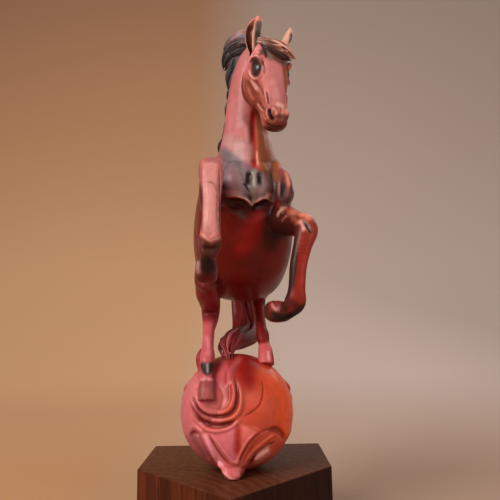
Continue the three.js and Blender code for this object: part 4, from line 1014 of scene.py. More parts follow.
def make_ear(side, *places):
    """An ear curled round the places of its middle line, which are on_head."""
    path = [on_head(*place) for place in places]
    opening = HEAD_LEFT * side * 0.98 + HEAD_OUT * (0.16 if side < 0 else -0.36)
    radii = (5, 6.2, 7, 7.2, 6.6, 5.3, 3.2) if side < 0 else (3.8, 4.4, 4.4, 4, 3.2, 2.2, 1.4)
    form = shell_form(path, radii, EAR_OPENINGS, opening)
    ear = Casting("ear_right" if side < 0 else "ear_left", [form], 0, PINK)
    n = ear.normals()
    middle = spline(path, np.linspace(0, 1, 40))
    nearest = np.linalg.norm(ear.points[:, None] - middle[None], axis=2).argmin(1)
    inside = ((ear.points - middle[nearest]) * n).sum(1) < 0
    up = -(ear.points - POLL) @ HEAD_DOWN
    backs, hollow = np.where(inside, 0, 1), np.where(inside, 1, 0)
    ear.tint(backs, (96, 68, 52) if side < 0 else (252, 196, 166))
    if side < 0:
        ear.tint(backs * blend(n @ HEAD_LEFT, -0.1, 0.7), (92, 88, 74), 0.8)
        ear.tint(backs * blend(up, 6, 20), (132, 98, 84), 0.8)
    else:
        ear.tint(backs * blend(n @ HEAD_LEFT, 0.6, 0.95), (96, 70, 48), 0.8)
    ear.tint(hollow, (112, 58, 38), 1)
    ear.tint(hollow * blend(-up, -14, 2), (46, 22, 18), 0.9)
    ear.tint(blend(up, 23, 28.6), (232, 142, 124), 1)
    ear.tint(np.where(inside, 0, blend(n @ opening, 0.3, 0.85)), (226, 160, 138), 0.9)
    ear.face_picture()
    if side < 0:
        ear.daub([(258.6, 24), (260, 32), (259, 44)], 5, (104, 90, 72), 0.8)
        ear.daub([(253, 27), (252.4, 34), (253, 41)], 1.4, (232, 178, 156), 0.9)
        ear.daub([(257, 33), (257.4, 40), (257, 48)], 4, (60, 44, 26), 1, False)
        ear.fill([(252, 12), (268, 12), (268, 21), (252, 21)], (238, 138, 118), 1, 1.6)
    else:
        ear.fill([(279, 24), (298, 24), (298, 48), (279, 48)], (226, 164, 138), 1, 1.5)
        ear.daub([(291.4, 32), (291, 38), (289.6, 44)], 2, (70, 46, 30), 1)
        ear.fill([(279, 24), (298, 24), (298, 30), (279, 30)], (222, 150, 142), 1, 1.5)
    ear.relax(2, 0.6)
    ear.finish(HIDE, "pink_lacquer")


# An eyeball's half sizes, how far its middle lies under the lids, and the point that both eyes face away from
EYE_HALVES = (4.1, 5.6, 5.8)
EYE_DEPTH = 3.9
BETWEEN_EYES = on_head(0, -4, 27)


def make_eyes():
    material, tree, shader = new_material("eye_glaze")
    feed(tree, shader, {"Base Color": (0.024, 0.014, 0.011, 1), "Roughness": 0.34, "Coat Weight": 0.12,
                        "Coat Roughness": 0.1})
    bumped(tree, shader, noise(tree, 500, 2), 0.05, 0.0001)
    for name, place in (("eye_right", eye_place), ("eye_left", mirrored(eye_place)[0])):
        centre = place - unit(place - BETWEEN_EYES) * EYE_DEPTH
        ball = new_piece(name, *ball_form(centre, *EYE_HALVES, turn=HEAD_FRAME, sides=40))
        ball.data.shade_smooth()
        ball.data.materials.append(material)
        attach(ball, "root")


make_ear(-1, (-9.4, -4.5, 6), (-10, -4.5, -3), (-10, -4.6, -11), (-8.8, -4.8, -18.6), (-6.4, -5, -23.8),
         (-4.2, -5, -26.9), (-2.6, -5, -28.8))
make_ear(1, (9.4, -3, 5), (14, -3.2, 0), (19, -3.6, -8), (24, -4.4, -17), (26.4, -5, -22.8),
         (27.8, -5.2, -26.6), (28.4, -5.4, -29))
make_eyes()


# ---- Hair, sculpted in grooved locks

LOCK_SIDES = 20


def locks_tree(material):
    """Grooved locks along the edges of a mesh, each as thick as its points' attribute thickness says, in metres."""
    tree = bpy.data.node_groups.new("sculpted_locks", "GeometryNodeTree")
    for way in ("INPUT", "OUTPUT"):
        tree.interface.new_socket("Locks", in_out=way, socket_type="NodeSocketGeometry")
    for name, kind, value in (("Grooves", "Int", 4), ("Groove depth", "Float", 0.14), ("Flatness", "Float", 0.7)):
        tree.interface.new_socket(name, in_out="INPUT", socket_type="NodeSocket" + kind).default_value = value
    given = node(tree, "NodeGroupInput").outputs

    def out(kind, inputs=None, **settings):
        return node(tree, kind, inputs, **settings).outputs[0]

    def attribute(name):
        made = node(tree, "GeometryNodeInputNamedAttribute", {"Name": name}, data_type="FLOAT")
        return made.outputs["Attribute"]

    # Their profile: a ring that swells and sinks as often as there are grooves, flattened
    ring = out("GeometryNodeCurvePrimitiveCircle", {"Resolution": LOCK_SIDES, "Radius": 1})
    place = out("GeometryNodeInputIndex")
    turn = out("ShaderNodeMath", {0: place, 1: 2 * math.pi / LOCK_SIDES}, operation="MULTIPLY")
    phase = out("ShaderNodeMath", {0: turn, 1: given["Grooves"]}, operation="MULTIPLY")
    wave = out("ShaderNodeMath", {0: phase}, operation="COSINE")
    swell = out("ShaderNodeMath", {0: wave, 1: given["Groove depth"], 2: 1}, operation="MULTIPLY_ADD")
    grown = out("ShaderNodeVectorMath", {0: out("GeometryNodeInputPosition"), "Scale": swell}, operation="SCALE")
    flat = out("ShaderNodeCombineXYZ", {0: 1, 1: given["Flatness"]})
    flattened = out("ShaderNodeVectorMath", {0: grown, 1: flat}, operation="MULTIPLY")
    profile = out("GeometryNodeSetPosition", {"Geometry": ring, "Position": flattened})

    # The locks along their curves
    curve = out("GeometryNodeMeshToCurve", {"Mesh": given["Locks"]})
    curve = out("GeometryNodeSetCurveTilt", {"Curve": curve, "Tilt": attribute("twist")})
    locks = out("GeometryNodeCurveToMesh", {"Curve": curve, "Profile Curve": profile,
                                            "Scale": attribute("thickness"), "Fill Caps": True})
    smooth = out("GeometryNodeSetShadeSmooth", {0: locks})
    whole = out("GeometryNodeRealizeInstances", {0: smooth})
    coated = out("GeometryNodeSetMaterial", {"Geometry": whole, "Material": material})
    node(tree, "NodeGroupOutput", {0: coated})
    return tree


def bundle(rng, stations, across, count, samples=26, spread=0.62, share=0.5, swirl=1.2, loose=0.12):
    """Locks that lie side by side in a tapering form through stations (point, half width, thickness): for each lock
    its points, its half widths and its twists."""
    centres = np.array([s[0] for s in stations])
    size = np.array([s[1:] for s in stations], float)
    shares = np.linspace(0, 1, samples)
    locks = []
    for j in range(count):
        along = shares * rng.uniform(0.86, 1.0)
        path, reach = spline(centres, along), np.maximum(spline(size, along, False), 0.2)
        tangent = unit(np.gradient(path, axis=0))
        side = unit(across - tangent * (tangent @ across)[:, None])
        out = np.cross(side, tangent)
        angle = 2 * math.pi * (j + rng.uniform(-0.2, 0.2)) / count + swirl * along + 0.35 * np.sin(
            along * rng.uniform(4, 8) + rng.uniform(0, 6))
        spreading = spread * (1 + loose * np.sin(along * 5 + j))
        points = (path + side * (np.cos(angle) * reach[:, 0] * spreading)[:, None]
                  + out * (np.sin(angle) * reach[:, 1] * spreading)[:, None])
        taper = np.clip((1 - shares) * 3.2, 0, 1) ** 0.7 * np.clip(0.5 + shares * 5, 0, 1)
        widths = np.sqrt(reach[:, 0] * reach[:, 1]) * share * taper * rng.uniform(0.85, 1.15) + 0.12
        locks.append((points, widths, angle))
    return locks


def hair_piece(name, locks, paint, node_name, grooves=4, depth=0.14, flatness=0.72, gloss=0.6):
    """A piece from locks. paint(points, share along each lock, which lock) gives the colours."""
    points, widths, twists = (np.concatenate([lock[k] for lock in locks]) for k in range(3))
    edges, first = [], 0
    for lock in locks:
        edges += [(first + i, first + i + 1) for i in range(len(lock[0]) - 1)]
        first += len(lock[0])
    share = np.concatenate([np.linspace(0, 1, len(lock[0])) for lock in locks])
    which = np.repeat(range(len(locks)), [len(lock[0]) for lock in locks])
    piece = new_piece(name, points, edges=edges)
    give_values(piece.data, paint(points, share, which), thickness=widths * MM, twist=twists,
                Gloss=np.full(len(points), gloss))
    grown = piece.modifiers.new("locks", "NODES")
    grown.node_group = locks_tree(HIDE)
    sizes = {"Grooves": grooves, "Groove depth": depth, "Flatness": flatness}
    for item in grown.node_group.interface.items_tree:
        if item.name in sizes:
            grown[item.identifier] = sizes[item.name]
    settle(piece)
    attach(piece, "root")
    if node_name:
        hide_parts(node_name)


def shades(which, *colours):
    """A colour for each lock, in turn from colours."""
    return np.array(colours, float)[which % len(colours)]


def washed_and_shaded(colour, where, wash, share):
    """Colours with a thin layer of another colour over them: a wash, and in places painted shade."""
    return colour + where[:, None] * share * (np.asarray(wash) - colour)


CREST_SHARE = 0.86
LOCK_ROOTS = 9


def make_mane():
    rng = np.random.default_rng(7)
    rows = NECK[2:-1]
    crest = np.array([at(left, ahead - CREST_SHARE * back, up) for left, ahead, up, _, _, back in rows])
    root = [(p, 6.4, 7) for p in spline(crest, np.linspace(0, 1, 6))] + [(at(24, 48, 366), 5.5, 6)]
    locks = bundle(rng, root, ACROSS, 9, samples=34, spread=0.66)
    for i in range(LOCK_ROOTS):
        place = i / (LOCK_ROOTS - 1)
        start = spline(crest, [place])[0]
        wide = 0.5 * NECK_WIDTH * np.interp(place, np.linspace(0, 1, len(rows)), [row[3] for row in rows])
        for side in (-1, 1):
            length = 43 + 8 * math.sin(1.7 * i + side)
            wave = 2 * math.sin(1.2 * i + side)
            flow = lambda out, back, fall: start + np.array([side * out, back, -fall * length])
            reach = max(11.5, wide + 1) if side < 0 else 11.5
            form = [(flow(2, -3, -0.04), 5, 6), (flow(7.5, 0.5, 0.06), 5.6, 6.6),
                    (flow(reach + wave, 2.5, 0.3), 5.4, 6.4), (flow(reach, 5 + wave, 0.56), 4.6, 5.4),
                    (flow(reach + 1 + 0.5 * wave, 9, 0.8), 3, 3.6), (flow(reach - 2, 13, 1), 0.7, 0.9)]
            locks += bundle(rng, form, ACROSS, 5)
    for tuft in (
        [(26, 50, 361, 6, 6.4), (18, 42, 371, 7, 8.6), (8, 36, 373, 7, 8.6), (-2, 33, 370, 5.4, 7),
         (-9, 32, 364, 1, 1)],
        [(25, 48, 357, 7, 7), (14, 39, 363, 8, 9), (3, 33, 361, 7.5, 9), (-4, 31, 355, 5, 6), (-7, 30, 348, 1, 1)],
        [(24, 46, 350, 7, 7), (14, 37, 353, 8, 9), (5, 31, 347, 7, 8), (0, 28, 337, 5, 6), (-2, 27, 326, 1, 1)],
    ):
        locks += bundle(rng, placed(tuft), UP, 9, swirl=0.8)

    def paint(points, share, which):
        up = points[:, 2] - FIGURE_FLOOR
        colour = shades(which, (36, 34, 34), (62, 58, 56), (26, 24, 26), (84, 76, 74))
        top = shades(which, (172, 122, 118), (146, 132, 146), (196, 140, 130), (116, 104, 116))
        colour = washed_and_shaded(colour, blend(up, 362, 378), top, 0.9)
        return washed_and_shaded(colour, blend(250 - (up - 60), 0, 60), (120, 52, 48), 0.5)

    hair_piece("mane_locks", locks, paint, "mane")


def make_forelock():
    rng = np.random.default_rng(11)
    across = HEAD_DOWN * 0.84 - HEAD_LEFT * 0.5
    form = [((-9, -4, -4), 2.6, 2.4), ((-6.5, 3, -1.2), 4, 3), ((-3, 7.4, 3), 5, 3.2), ((2.7, 9.8, 6.4), 6, 3.4),
            ((8.2, 11, 8.8), 5.6, 3.2), ((13.2, 11.4, 11.8), 3.8, 2.4), ((18.1, 11, 15.2), 0.5, 0.5)]
    under = [((-8.7, 0, -0.6), 2, 1.6), ((-6.4, 5, 5), 2.6, 2), ((-2.5, 8.4, 10.2), 2.8, 2.2),
             ((2.4, 10, 13.8), 2.6, 2.2), ((8.2, 10.8, 15.8), 2, 1.8), ((15.2, 10.6, 16.4), 0.6, 0.6)]
    wisp = [((-8.1, 3.5, 2.8), 1.4, 1.2), ((-8.4, 7.6, 9), 1.4, 1.1), ((-8.8, 9.8, 15), 1, 0.8),
            ((-9.4, 10.6, 20), 0.4, 0.4)]

    def grown(rows, *settings, **more):
        return bundle(rng, [(on_head(*place), *size) for place, *size in rows], *settings, **more)

    upper = grown(form, across, 26, swirl=0.9, spread=0.82, share=0.23)
    upper += grown(form, across, 10, swirl=0.7, spread=0.42, share=0.34)
    lower = grown(under, across, 9, swirl=0.5, share=0.4)
    lower += grown(wisp, HEAD_LEFT, 3, swirl=0.4, share=0.4)

    def paint(points, share, which):
        p = points - POLL
        left, down = p @ HEAD_LEFT, p @ HEAD_DOWN
        colour = shades(which, (244, 184, 160), (160, 98, 80), (252, 200, 174), (104, 60, 48), (222, 154, 132))
        colour = washed_and_shaded(colour, blend(4 - left, 0, 10), (112, 84, 78), 0.55)
        # Painted shade: darker towards the forelock's lower edge, and dark on the locks beneath it and on the wisp
        colour = washed_and_shaded(colour, blend(down - 0.55 * left - 4.6, 2, 5), (60, 34, 28), 0.85)
        return washed_and_shaded(colour, which >= len(upper), (56, 34, 28), 0.8)

    hair_piece("forelock", upper + lower, paint, None, depth=0.16)


TAIL_SPINE = [
    (2.5, -60, 186, 0, 5), (3, -76, 184, 0.3, 6.4), (5, -88, 168, 0.8, 8.4), (8, -88.6, 144, 1, 9.2),
    (8.5, -77, 122, 1, 9), (6, -54, 112, 0.95, 8.4), (-1.6, -28, 109, 0.9, 7.4), (-7.4, -11, 106, 0.8, 5.6),
    (-9.4, 2, 100.6, 0.64, 3.4), (-8.2, 12, 96.2, 0.5, 2.2), (-5.6, 21.6, 91.2, 0.34, 0.9),
]


def make_tail():
    rng = np.random.default_rng(5)
    form = [(at(left + 2.2 * spread, ahead, up), 9.4 * spread + 0.6 * thick, 4.4 * spread + 0.6 * thick)
            for left, ahead, up, spread, thick in TAIL_SPINE]
    locks = bundle(rng, form, ACROSS, 20, samples=60, spread=0.74, share=0.34, swirl=2.2)
    locks += bundle(rng, form, ACROSS, 9, samples=60, spread=0.36, share=0.46, swirl=2.2)

    def paint(points, share, which):
        colour = shades(which, (184, 84, 84), (142, 50, 50), (200, 104, 104), (126, 34, 34))
        return washed_and_shaded(colour, blend(0.78 - share, 0, 0.16), (98, 8, 6), 0.8)

    hair_piece("tail_locks", locks, paint, "tail", grooves=3, depth=0.13, gloss=0)


make_mane()
make_forelock()
make_tail()


# ---- The ball with its carved waves

TONGUE_REACH = 44
LEDGE_RADIUS = 15
LICK = [(-27, 9, 80, 5, 4), (-31, 8, 88, 3.8, 3), (-32.4, 7, 95, 2.6, 2.4), (-30.4, 6, 101.5, 0.7, 0.8)]
# The crests behind, by degrees round the ball and above its middle, and the lines that go along each of them, by
# degrees above the crest, radius and height
BACK_WAVES = [
    [(84, 34), (98, 20), (116, 18), (138, 38)], [(86, -34), (102, -17), (122, -16), (142, -38)],
    [(148, 34), (168, 10), (194, 4), (220, 24)], [(156, -40), (174, -20), (198, -20), (216, -40)],
    [(226, 42), (242, 24), (260, 20), (276, 34)], [(224, -38), (242, -14), (258, -12), (274, -34)],
]
WAVE_LINES = [(0, 4.4, 2.2), (-6, 3.4, -1.8), (-11, 3, 1.2), (6, 3, -1.2)]
BOSSES = [(110, -33), (186, -36), (256, -31)]


def on_ball(round_, above, height=0.0):
    a, b = math.radians(round_), math.radians(above)
    direction = np.array([math.sin(a) * math.cos(b), -math.cos(a) * math.cos(b), math.sin(b)])
    return BALL_MIDDLE + direction * (BALL_RADIUS + height)


def ball_forms():
    low = np.array([BALL_LEFT - 1.5, -TONGUE_REACH, BALL_BOTTOM])
    tongue = [(on_ball(-1, 2, -9), 13, 7, 7), (on_ball(-2, -10, -6), 23, 8, 7), (on_ball(-3, -26, -5), 17, 8.6, 7),
              (on_ball(-3, -42, -2), 12.5, 8, 7), (low + (-0.8, 10, 8.4), 10.4, 7, 7),
              (low + (-0.6, 5, 3.4), 7.6, 5, 5), (low + (0.4, 1.4, 1.4), 3.6, 2.4, 2.2)]
    ledge = [(on_ball(-29, 32, -10), 9, 9, 9), (on_ball(-29, 20, -3), LEDGE_RADIUS, 10, 10),
             (on_ball(-28, 8, -3), LEDGE_RADIUS - 1.5, 7, 8), (on_ball(-27, -1, -5), 7, 4, 4)]
    return [ball_form(BALL_MIDDLE, BALL_RADIUS, BALL_RADIUS, BALL_RADIUS, sides=120), loft(tongue, sides=40),
            loft(ledge, sides=40), lobe(placed(LICK), ACROSS)]


def make_ball():
    ball = Casting("wave_ball", ball_forms(), 0.75, (206, 84, 60))
    ball.points[:, 2] = np.maximum(ball.points[:, 2], BALL_BOTTOM)
    ball.relax(10, blend(ball.points[:, 2], BALL_BOTTOM + 0.5, BALL_BOTTOM + 4))
    ball.set_aim()
    crests, grooves = [], []

    def crest(pixels, radius, height, fade=True):
        ball.stroke(pixels, radius, height, fade)
        (crests if height > 0 else grooves).append((ball.seen_path(pixels), radius))

    def groove(pixels, radius, depth):
        crest(pixels, radius, -depth)

    # Round the hoof: a scoop, two rims that run up into the tail, and a third below
    ball.stroke([(206, 388), (214, 398)], 11, -1.5, False)
    crest([(196, 383), (196.4, 393), (199, 403), (205, 409.5), (213, 412.5), (221, 412.6), (228, 410), (232, 404),
           (234, 394), (232.5, 383), (229, 373), (226, 364)], 3.2, 2.1)
    groove([(192.6, 390), (194.6, 401), (201, 411), (210, 415.6), (220, 416.4), (229.5, 414.4), (235.4, 408),
            (237.4, 398), (236.4, 387), (233, 376)], 2.2, 1.7)
    crest([(189.6, 389), (192, 401), (198, 411), (207, 418), (217, 420.6), (227, 420), (235, 416.6), (239.6, 410),
           (241.6, 399), (240.4, 388), (237, 378)], 2.8, 1.7)
    groove([(190.4, 402), (196, 414), (205, 422.6), (214, 426), (225, 425.4), (236, 420.6)], 3, 2.1)
    crest([(191, 410), (198, 421.6), (205.7, 428.6), (213, 431), (221, 430.6), (230, 427.6), (237.6, 421.6),
           (241.4, 417)], 2.2, 1.5)
    # Leaf and tongue
    groove([(208.4, 434), (214.6, 446), (222.6, 457.6), (230, 465)], 1.7, 0.9)
    crest([(210.4, 431), (217, 442), (225, 453), (232, 462), (236, 465)], 1.9, 1.1)
    groove([(239, 464), (241.6, 456), (246, 448.6), (251.6, 440.6), (258.8, 434.6), (267, 430), (273, 428.6)],
           1.5, 1.2)
    crest([(236.6, 465.6), (239, 457), (243, 448), (249, 439), (257, 432)], 1.6, 0.8)
    ball.stroke([(238.6, 424), (237.6, 440), (236.6, 460)], 5, -0.7)
    crest([(186, 440), (188.4, 431), (194.6, 426), (201.4, 430), (207.4, 439), (212.6, 450), (218.6, 460.6),
           (225, 470), (232, 478)], 4.2, 2.4)
    groove([(189.6, 438), (194, 433), (198, 435.6), (201.4, 441), (206.4, 450), (211.6, 458.6), (217, 466)], 2.4, 2)
    # A strand of the tail that runs on down the ball
    crest([(243, 352), (236, 361), (230, 373), (228, 388)], 3.4, 1.6)
    ball.relax(20, ball.near(ball.seen_path([(225, 466), (232, 474), (240, 470)]), 12, False))
    crest([(221, 467), (226, 474), (232, 478.6), (238, 478.4)], 2.2, 0.9)
    crest([(234.6, 460), (236.6, 464), (239, 460)], 1.6, 0.8)
    # To the right: an arch with a pad in it, and one long thin line
    crest([(244, 467), (247.6, 458), (253.6, 450), (262, 443), (271, 436.4), (278, 434)], 2.4, 1.6)
    groove([(268, 430), (276, 429.6), (282, 434), (284, 441)], 3.8, 2.2)
    groove([(249, 465), (256, 454), (266, 446.4), (276, 441.6)], 2.2, 1.6)
    crest([(256, 458), (266, 451)], 5, 1.7, False)
    groove([(261.4, 379), (263, 393), (260, 404.3), (253, 411.4), (243, 417)], 1.2, 0.9)
    # The sides and the back
    for wave in BACK_WAVES:
        for shift, radius, height in WAVE_LINES:
            path = [on_ball(round_, above + shift) for round_, above in wave]
            ball.press(path, radius, height)
            (crests if height > 0 else grooves).append((path, radius))
    for place in BOSSES:
        ball.press([on_ball(*place)], 8, 2.4)
    ball.points[:, 2] = np.maximum(ball.points[:, 2], BALL_BOTTOM)
    ball.relax(1)
    paint_ball(ball, crests, grooves)
    ball.finish(BALL_LACQUER, "red_lacquer", "ball")


def paint_ball(ball, crests, grooves):
    n = ball.normals()
    out = unit(ball.points - BALL_MIDDLE)
    cloud = ripple(ball.points, 30, 2)
    ball.face_picture()
    tint, daub, fill = ball.tint, ball.daub, ball.fill
    # Pink on the left and orange red on the right, partly the airbrush's colours and partly painted light from
    # either side
    tint(blend(-out[:, 0] + 0.12 * cloud, -0.15, 0.6), (210, 108, 110))
    tint(blend(-out[:, 0] + 0.1 * cloud, 0.55, 0.95), (196, 98, 110), 0.8)
    tint(blend(out[:, 1] + 0.3 * cloud, 0.1, 0.8), (168, 48, 40), 0.7)
    tint(blend(out[:, 2] + 0.08 * cloud, 0.6, 0.9), (142, 26, 20), 0.95)
    tint(blend(-out[:, 2], 0.4, 0.9), (196, 92, 84), 0.5)
    daub([(246, 352), (250, 366), (249, 378)], 20, (140, 18, 12), 1, False)
    daub([(264, 374), (266, 392), (260, 410)], 16, (222, 74, 32), 0.8, False)
    daub([(278, 376), (286, 402), (283, 430)], 17, (250, 88, 38), 0.95, False)
    daub([(252, 418), (262, 428), (274, 428)], 12, (206, 74, 50), 0.7, False)
    daub([(222, 372), (228, 390), (226, 402)], 8, (168, 40, 34), 0.9)
    daub([(243, 354), (234, 366), (228, 380)], 6, (206, 100, 100), 0.6)
    daub([(203, 404), (214, 408), (224, 402)], 7, (204, 100, 96), 0.8, False)
    daub([(200, 378), (194, 392), (197, 404)], 6, (222, 124, 118), 0.7)
    daub([(205, 384), (208, 394), (210, 400)], 10, (160, 74, 66), 0.8, False)
    fill([(208, 433), (222, 431), (237, 422), (238, 462), (231, 462)], (234, 124, 134), 0.9, 2)
    fill([(238, 422), (256, 432), (246, 446), (239, 462)], (236, 120, 110), 0.9, 2)
    daub([(239, 424), (238, 440), (237, 458)], 6, (176, 44, 36), 0.8)
    daub([(224, 464), (230, 472), (238, 474)], 9, (226, 106, 108), 0.9, False)
    daub([(244, 468), (242, 475)], 3, (150, 44, 40), 0.7, False)
    daub([(256, 458), (266, 451)], 7, (255, 176, 166), 1, False)
    daub([(193, 436), (198, 444), (204, 454)], 7, (146, 74, 78), 0.85, False)
    daub([(192, 404), (204, 421), (220, 424.6), (236, 420)], 3.6, (128, 48, 44), 0.7)
    fill([(240, 470), (262, 466), (284, 452), (290, 470), (250, 490)], (140, 50, 46), 0.6, 4)
    daub([(222, 356), (224, 370), (220, 384)], 10, (204, 88, 92), 0.8, False)
    # Painted shade in the grooves and hollows, and painted highlights along the crests
    for path, radius in grooves:
        tint(ball.near(path, radius * 0.9), (92, 20, 18), 0.85)
    for path, radius in crests:
        tint(ball.near(path, radius * 0.62), (232, 146, 132), 0.6)
    tint(np.clip(ball.hollows(), 0, 1), (88, 20, 18), 0.5)
    # Painted highlights down the band on the left and along the tongue's lower rim
    daub([(205, 436), (212.6, 452), (221, 464)], 5, (255, 160, 174), 1, False)
    daub([(221, 468), (226, 475), (232, 479), (238, 479)], 1.6, (250, 176, 172), 0.9)
    ball.shine(np.ones(len(n)), 0.55 + 0.2 * cloud)


make_ball()


# ---- Plinth, felt and fittings

PLINTH_ROUNDING = 1.5
BOLT_SEAT = PLINTH_BOTTOM + 16
# Bores: left of the middle, behind it, radius, foot and top
BORES = [
    (BALL_LEFT, 0, 12, -1, BOLT_SEAT), (BALL_LEFT, 0, 4.4, BOLT_SEAT - 1, PLINTH_TOP + 1),
    (BALL_LEFT, 11, 2.3, PLINTH_TOP - 9.3, PLINTH_TOP + 1),
]


def plinth_ring(inset, height, corner=3.0, steps=6):
    """The plinth's outline at a height: straight back and sides and a square point in front."""
    half, depth = PLINTH_WIDTH / 2, PLINTH_SIDE + PLINTH_WIDTH / 2
    back, front = depth / 2, -depth / 2
    corners = np.array([(half, back), (-half, back), (-half, front + half), (0, front), (half, front + half)])
    ring = []
    for i, point in enumerate(corners):
        before, after = unit(corners[i - 1] - point), unit(corners[(i + 1) % 5] - point)
        reach = corner / math.tan(math.acos(before @ after) / 2)
        middle = point + unit(before + after) * math.hypot(corner, reach)
        start, end = point + before * reach - middle, point + after * reach - middle
        for t in np.linspace(0, 1, steps):
            ring.append(middle + unit(start * (1 - t) + end * t) * (corner - inset))
    return [(x, y, height) for x, y in ring]


def make_plinth():
    turns = np.linspace(0, math.pi / 2, 5)
    sunk = lambda share: PLINTH_ROUNDING * (1 - share)
    levels = [(sunk(math.sin(a)), PLINTH_BOTTOM + sunk(math.cos(a))) for a in turns]
    levels += [(sunk(math.cos(a)), PLINTH_TOP - sunk(math.sin(a))) for a in turns]
    rings = [plinth_ring(*level) for level in levels]
    around = len(rings[0])
    faces = [tuple(range(around))[::-1], tuple(range((len(rings) - 1) * around, len(rings) * around))]
    for i in range(len(rings) - 1):
        for k in range(around):
            n = (k + 1) % around
            faces.append((i * around + k, i * around + n, (i + 1) * around + n, (i + 1) * around + k))
    plinth = new_piece("walnut_plinth", [p for ring in rings for p in ring], faces)
    for x, y, radius, low, high in BORES:
        line = [(np.array([x, y, z]), radius, radius, radius) for z in (low, (low + high) / 2, high)]
        drill = new_piece("drill", *loft(line, sides=40, steps=1))
        bore = plinth.modifiers.new("bore", "BOOLEAN")
        bore.operation, bore.solver, bore.object = "DIFFERENCE", "EXACT", drill
        settle(plinth)
        bpy.data.objects.remove(drill)
    plinth.data.materials.clear()
    plinth.data.materials.append(walnut())
    plinth.data.shade_smooth()
    plinth.data.set_sharp_from_angle(angle=math.radians(35))
    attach(plinth, "root")
    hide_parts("plinth")


def walnut():
    """Oiled, satin walnut: growth layers across the block and long pores up its sides, lighter on the top and along
    the top edge.
    """
    material, tree, shader = new_material("walnut")
    place = object_place(tree)
    tall = node(tree, "ShaderNodeMapping", {"Vector": place, "Scale": (1, 1, 0.06)}).outputs[0]
    bent = node(tree, "ShaderNodeMapping", {"Vector": place, "Location": (0.05, 0.16, 0),
                                            "Rotation": (0.05, 0.03, 0.4), "Scale": (1, 1, 0.08)})
    rings = node(tree, "ShaderNodeTexWave", {"Vector": bent.outputs[0], "Scale": 34, "Distortion": 5, "Detail": 3,
                                             "Detail Scale": 1.6, "Detail Roughness": 0.6},
                 wave_type="RINGS", rings_direction="Z", wave_profile="SIN").outputs["Fac"]
    broad = noise(tree, 26, 4, 0.6, tall)
    streaks = noise(tree, 210, 5, 0.65, tall)
    pores = noise(tree, 900, 2, 0.5, tall)
    colour = mixed(tree, rings, linear((62, 24, 11)), linear((92, 40, 20)))
    for share, wood in ((ranged(tree, broad, 0.35, 0.7, 0, 0.8), (104, 48, 24)),
                        (ranged(tree, streaks, 0.45, 0.68, 0, 0.75), (34, 16, 12)),
                        (ranged(tree, pores, 0.6, 0.72, 0, 0.7), (20, 9, 7))):
        colour = mixed(tree, share, colour, linear(wood))
    # A lighter top, and painted shade that darkens the right-hand front face up to just below its top edge
    apart = node(tree, "ShaderNodeSeparateXYZ", {0: place}).outputs
    top = PLINTH_TOP * MM
    level = ranged(tree, apart["Z"], top - 0.001, top - 0.0003, 0, 0.75)
    colour = mixed(tree, level, colour, mixed(tree, rings, linear((88, 44, 26)), linear((98, 56, 36))))
    right = ranged(tree, apart["X"], -0.004, 0.012, 0, 0.8)
    below = ranged(tree, apart["Z"], top - 0.0004, top - 0.0014, 0, 1)
    painted_shade = node(tree, "ShaderNodeMath", {0: right, 1: below}, operation="MULTIPLY").outputs[0]
    colour = mixed(tree, painted_shade, colour, linear((30, 14, 11)))
    feed(tree, shader, {"Base Color": colour, "Roughness": ranged(tree, streaks, 0.3, 0.7, 0.36, 0.52),
                        "Specular IOR Level": 0.08})
    bumped(tree, shader, mixed(tree, 0.5, streaks, pores), 0.22, 0.0003)
    return material


def felt():
    material, tree, shader = new_material("felt")
    fibres = noise(tree, 1400, 6, 0.7)
    colour = mixed(tree, ranged(tree, fibres, 0.35, 0.65, 0, 1), (0.004, 0.008, 0.006), (0.02, 0.034, 0.028))
    feed(tree, shader, {"Base Color": colour, "Roughness": ranged(tree, fibres, 0.3, 0.7, 0.9, 1),
                        "Sheen Weight": 0.4})
    bumped(tree, shader, fibres, 0.6, 0.0006)
    return material


def metal(name, colour, low, high):
    """Turned metal: fine rings round it, with a few scuffs."""
    material, tree, shader = new_material(name)
    scuffs = noise(tree, 260, 5, 0.7)
    worn = mixed(tree, ranged(tree, scuffs, 0.5, 0.7, 0, 0.5), colour, [0.5 * c for c in colour])
    feed(tree, shader, {"Base Color": worn, "Metallic": 1, "Roughness": ranged(tree, scuffs, 0.3, 0.7, low, high)})
    turned = node(tree, "ShaderNodeTexWave", {"Vector": object_place(tree), "Scale": 900}, bands_direction="Z")
    bumped(tree, shader, turned.outputs["Fac"], 0.15, 0.0001)
    return material


make_plinth()
FITTINGS = {
    felt(): ["base_felt"],
    metal("brass", (0.58, 0.36, 0.11), 0.28, 0.45): ["threaded_bush"],
    metal("steel", (0.42, 0.43, 0.45), 0.25, 0.42): [
        "fixing_bolt", "bolt_washer", "locating_pin", "right_hoof_pin", "left_hoof_pin", "neck_dowel", "head_dowel",
        "right_fore_dowel", "left_fore_dowel", "right_hind_dowel", "left_hind_dowel", "tail_dowel"],
}
for material, names in FITTINGS.items():
    for name in names:
        mesh = bpy.data.objects[name].data
        mesh.materials.clear()
        mesh.materials.append(material)


# ---- Stage

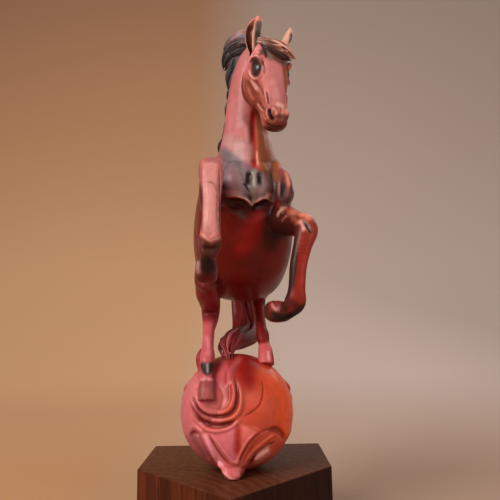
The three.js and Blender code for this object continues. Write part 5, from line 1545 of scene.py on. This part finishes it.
def stage():
    turns = np.linspace(0, math.pi / 2, 24)
    profile = [(-3.5, 0)] + [(0.7 + math.sin(a), 1 - math.cos(a)) for a in turns] + [(1.7, 4)]
    corners = [(x / MM, y / MM, z / MM) for y, z in profile for x in (-4, 4)]
    faces = [(2 * i, 2 * i + 1, 2 * i + 3, 2 * i + 2) for i in range(len(profile) - 1)]
    cove = new_piece("cove", corners, faces)
    cove.data.shade_smooth()
    material, tree, shader = new_material("paper_with_painted_lamplight")
    # The backdrop is warm to the left and grey to the right, with painted lamplight: brightest low on the wall,
    # darker up the wall and on the floor
    apart = node(tree, "ShaderNodeSeparateXYZ", {0: object_place(tree)}).outputs
    high = ranged(tree, apart["Z"], 0.4, 1.6, 0, 1)
    near = ranged(tree, apart["Y"], 1.0, 0.2, 0, 1)
    sides = []
    for middle, top, floor in (((0.8, 0.45, 0.23), (0.54, 0.28, 0.15), (0.56, 0.28, 0.125)),
                               ((0.74, 0.57, 0.48), (0.6, 0.46, 0.38), (0.52, 0.33, 0.23))):
        sides.append(mixed(tree, near, mixed(tree, high, middle, top), floor))
    colour = mixed(tree, ranged(tree, apart["X"], -0.2, 0.12, 0, 1), *sides)
    feed(tree, shader, {"Base Color": colour, "Roughness": 0.9})
    cove.data.materials.append(material)
    for name, place, aim, size, power, colour in (
        ("key", (-0.85, -0.9, 1.0), (0, 0, 0.25), 0.8, 19.4, (1, 0.985, 0.965)),
        ("fill", (1.0, -0.8, 0.6), (0, 0, 0.22), 0.9, 3.6, (0.97, 0.98, 1)),
        ("rim", (0.6, 0.8, 0.9), (0, 0, 0.25), 0.7, 2, (1, 1, 1)),
    ):
        lamp = bpy.data.lights.new(name, "AREA")
        lamp.size = size
        lamp.energy = power
        lamp.color = colour
        holder = bpy.data.objects.new(name, lamp)
        bpy.context.scene.collection.objects.link(holder)
        holder.location = place
        holder.rotation_euler = (Vector(aim) - Vector(place)).to_track_quat("-Z", "Y").to_euler()
    world = bpy.data.worlds.new("studio")
    world.use_nodes = True
    feed(world.node_tree, world.node_tree.nodes["Background"], {"Color": (0.88, 0.88, 0.88, 1), "Strength": 0.38})
    bpy.context.scene.world = world
    camera = bpy.data.cameras.new("camera")
    camera.sensor_width = SENSOR
    camera.lens = FOCAL / PICTURE * SENSOR
    holder = bpy.data.objects.new("camera", camera)
    holder.matrix_world = VIEW
    bpy.context.scene.collection.objects.link(holder)
    bpy.context.scene.camera = holder
    bpy.context.scene.view_settings.view_transform = "Standard"


stage()
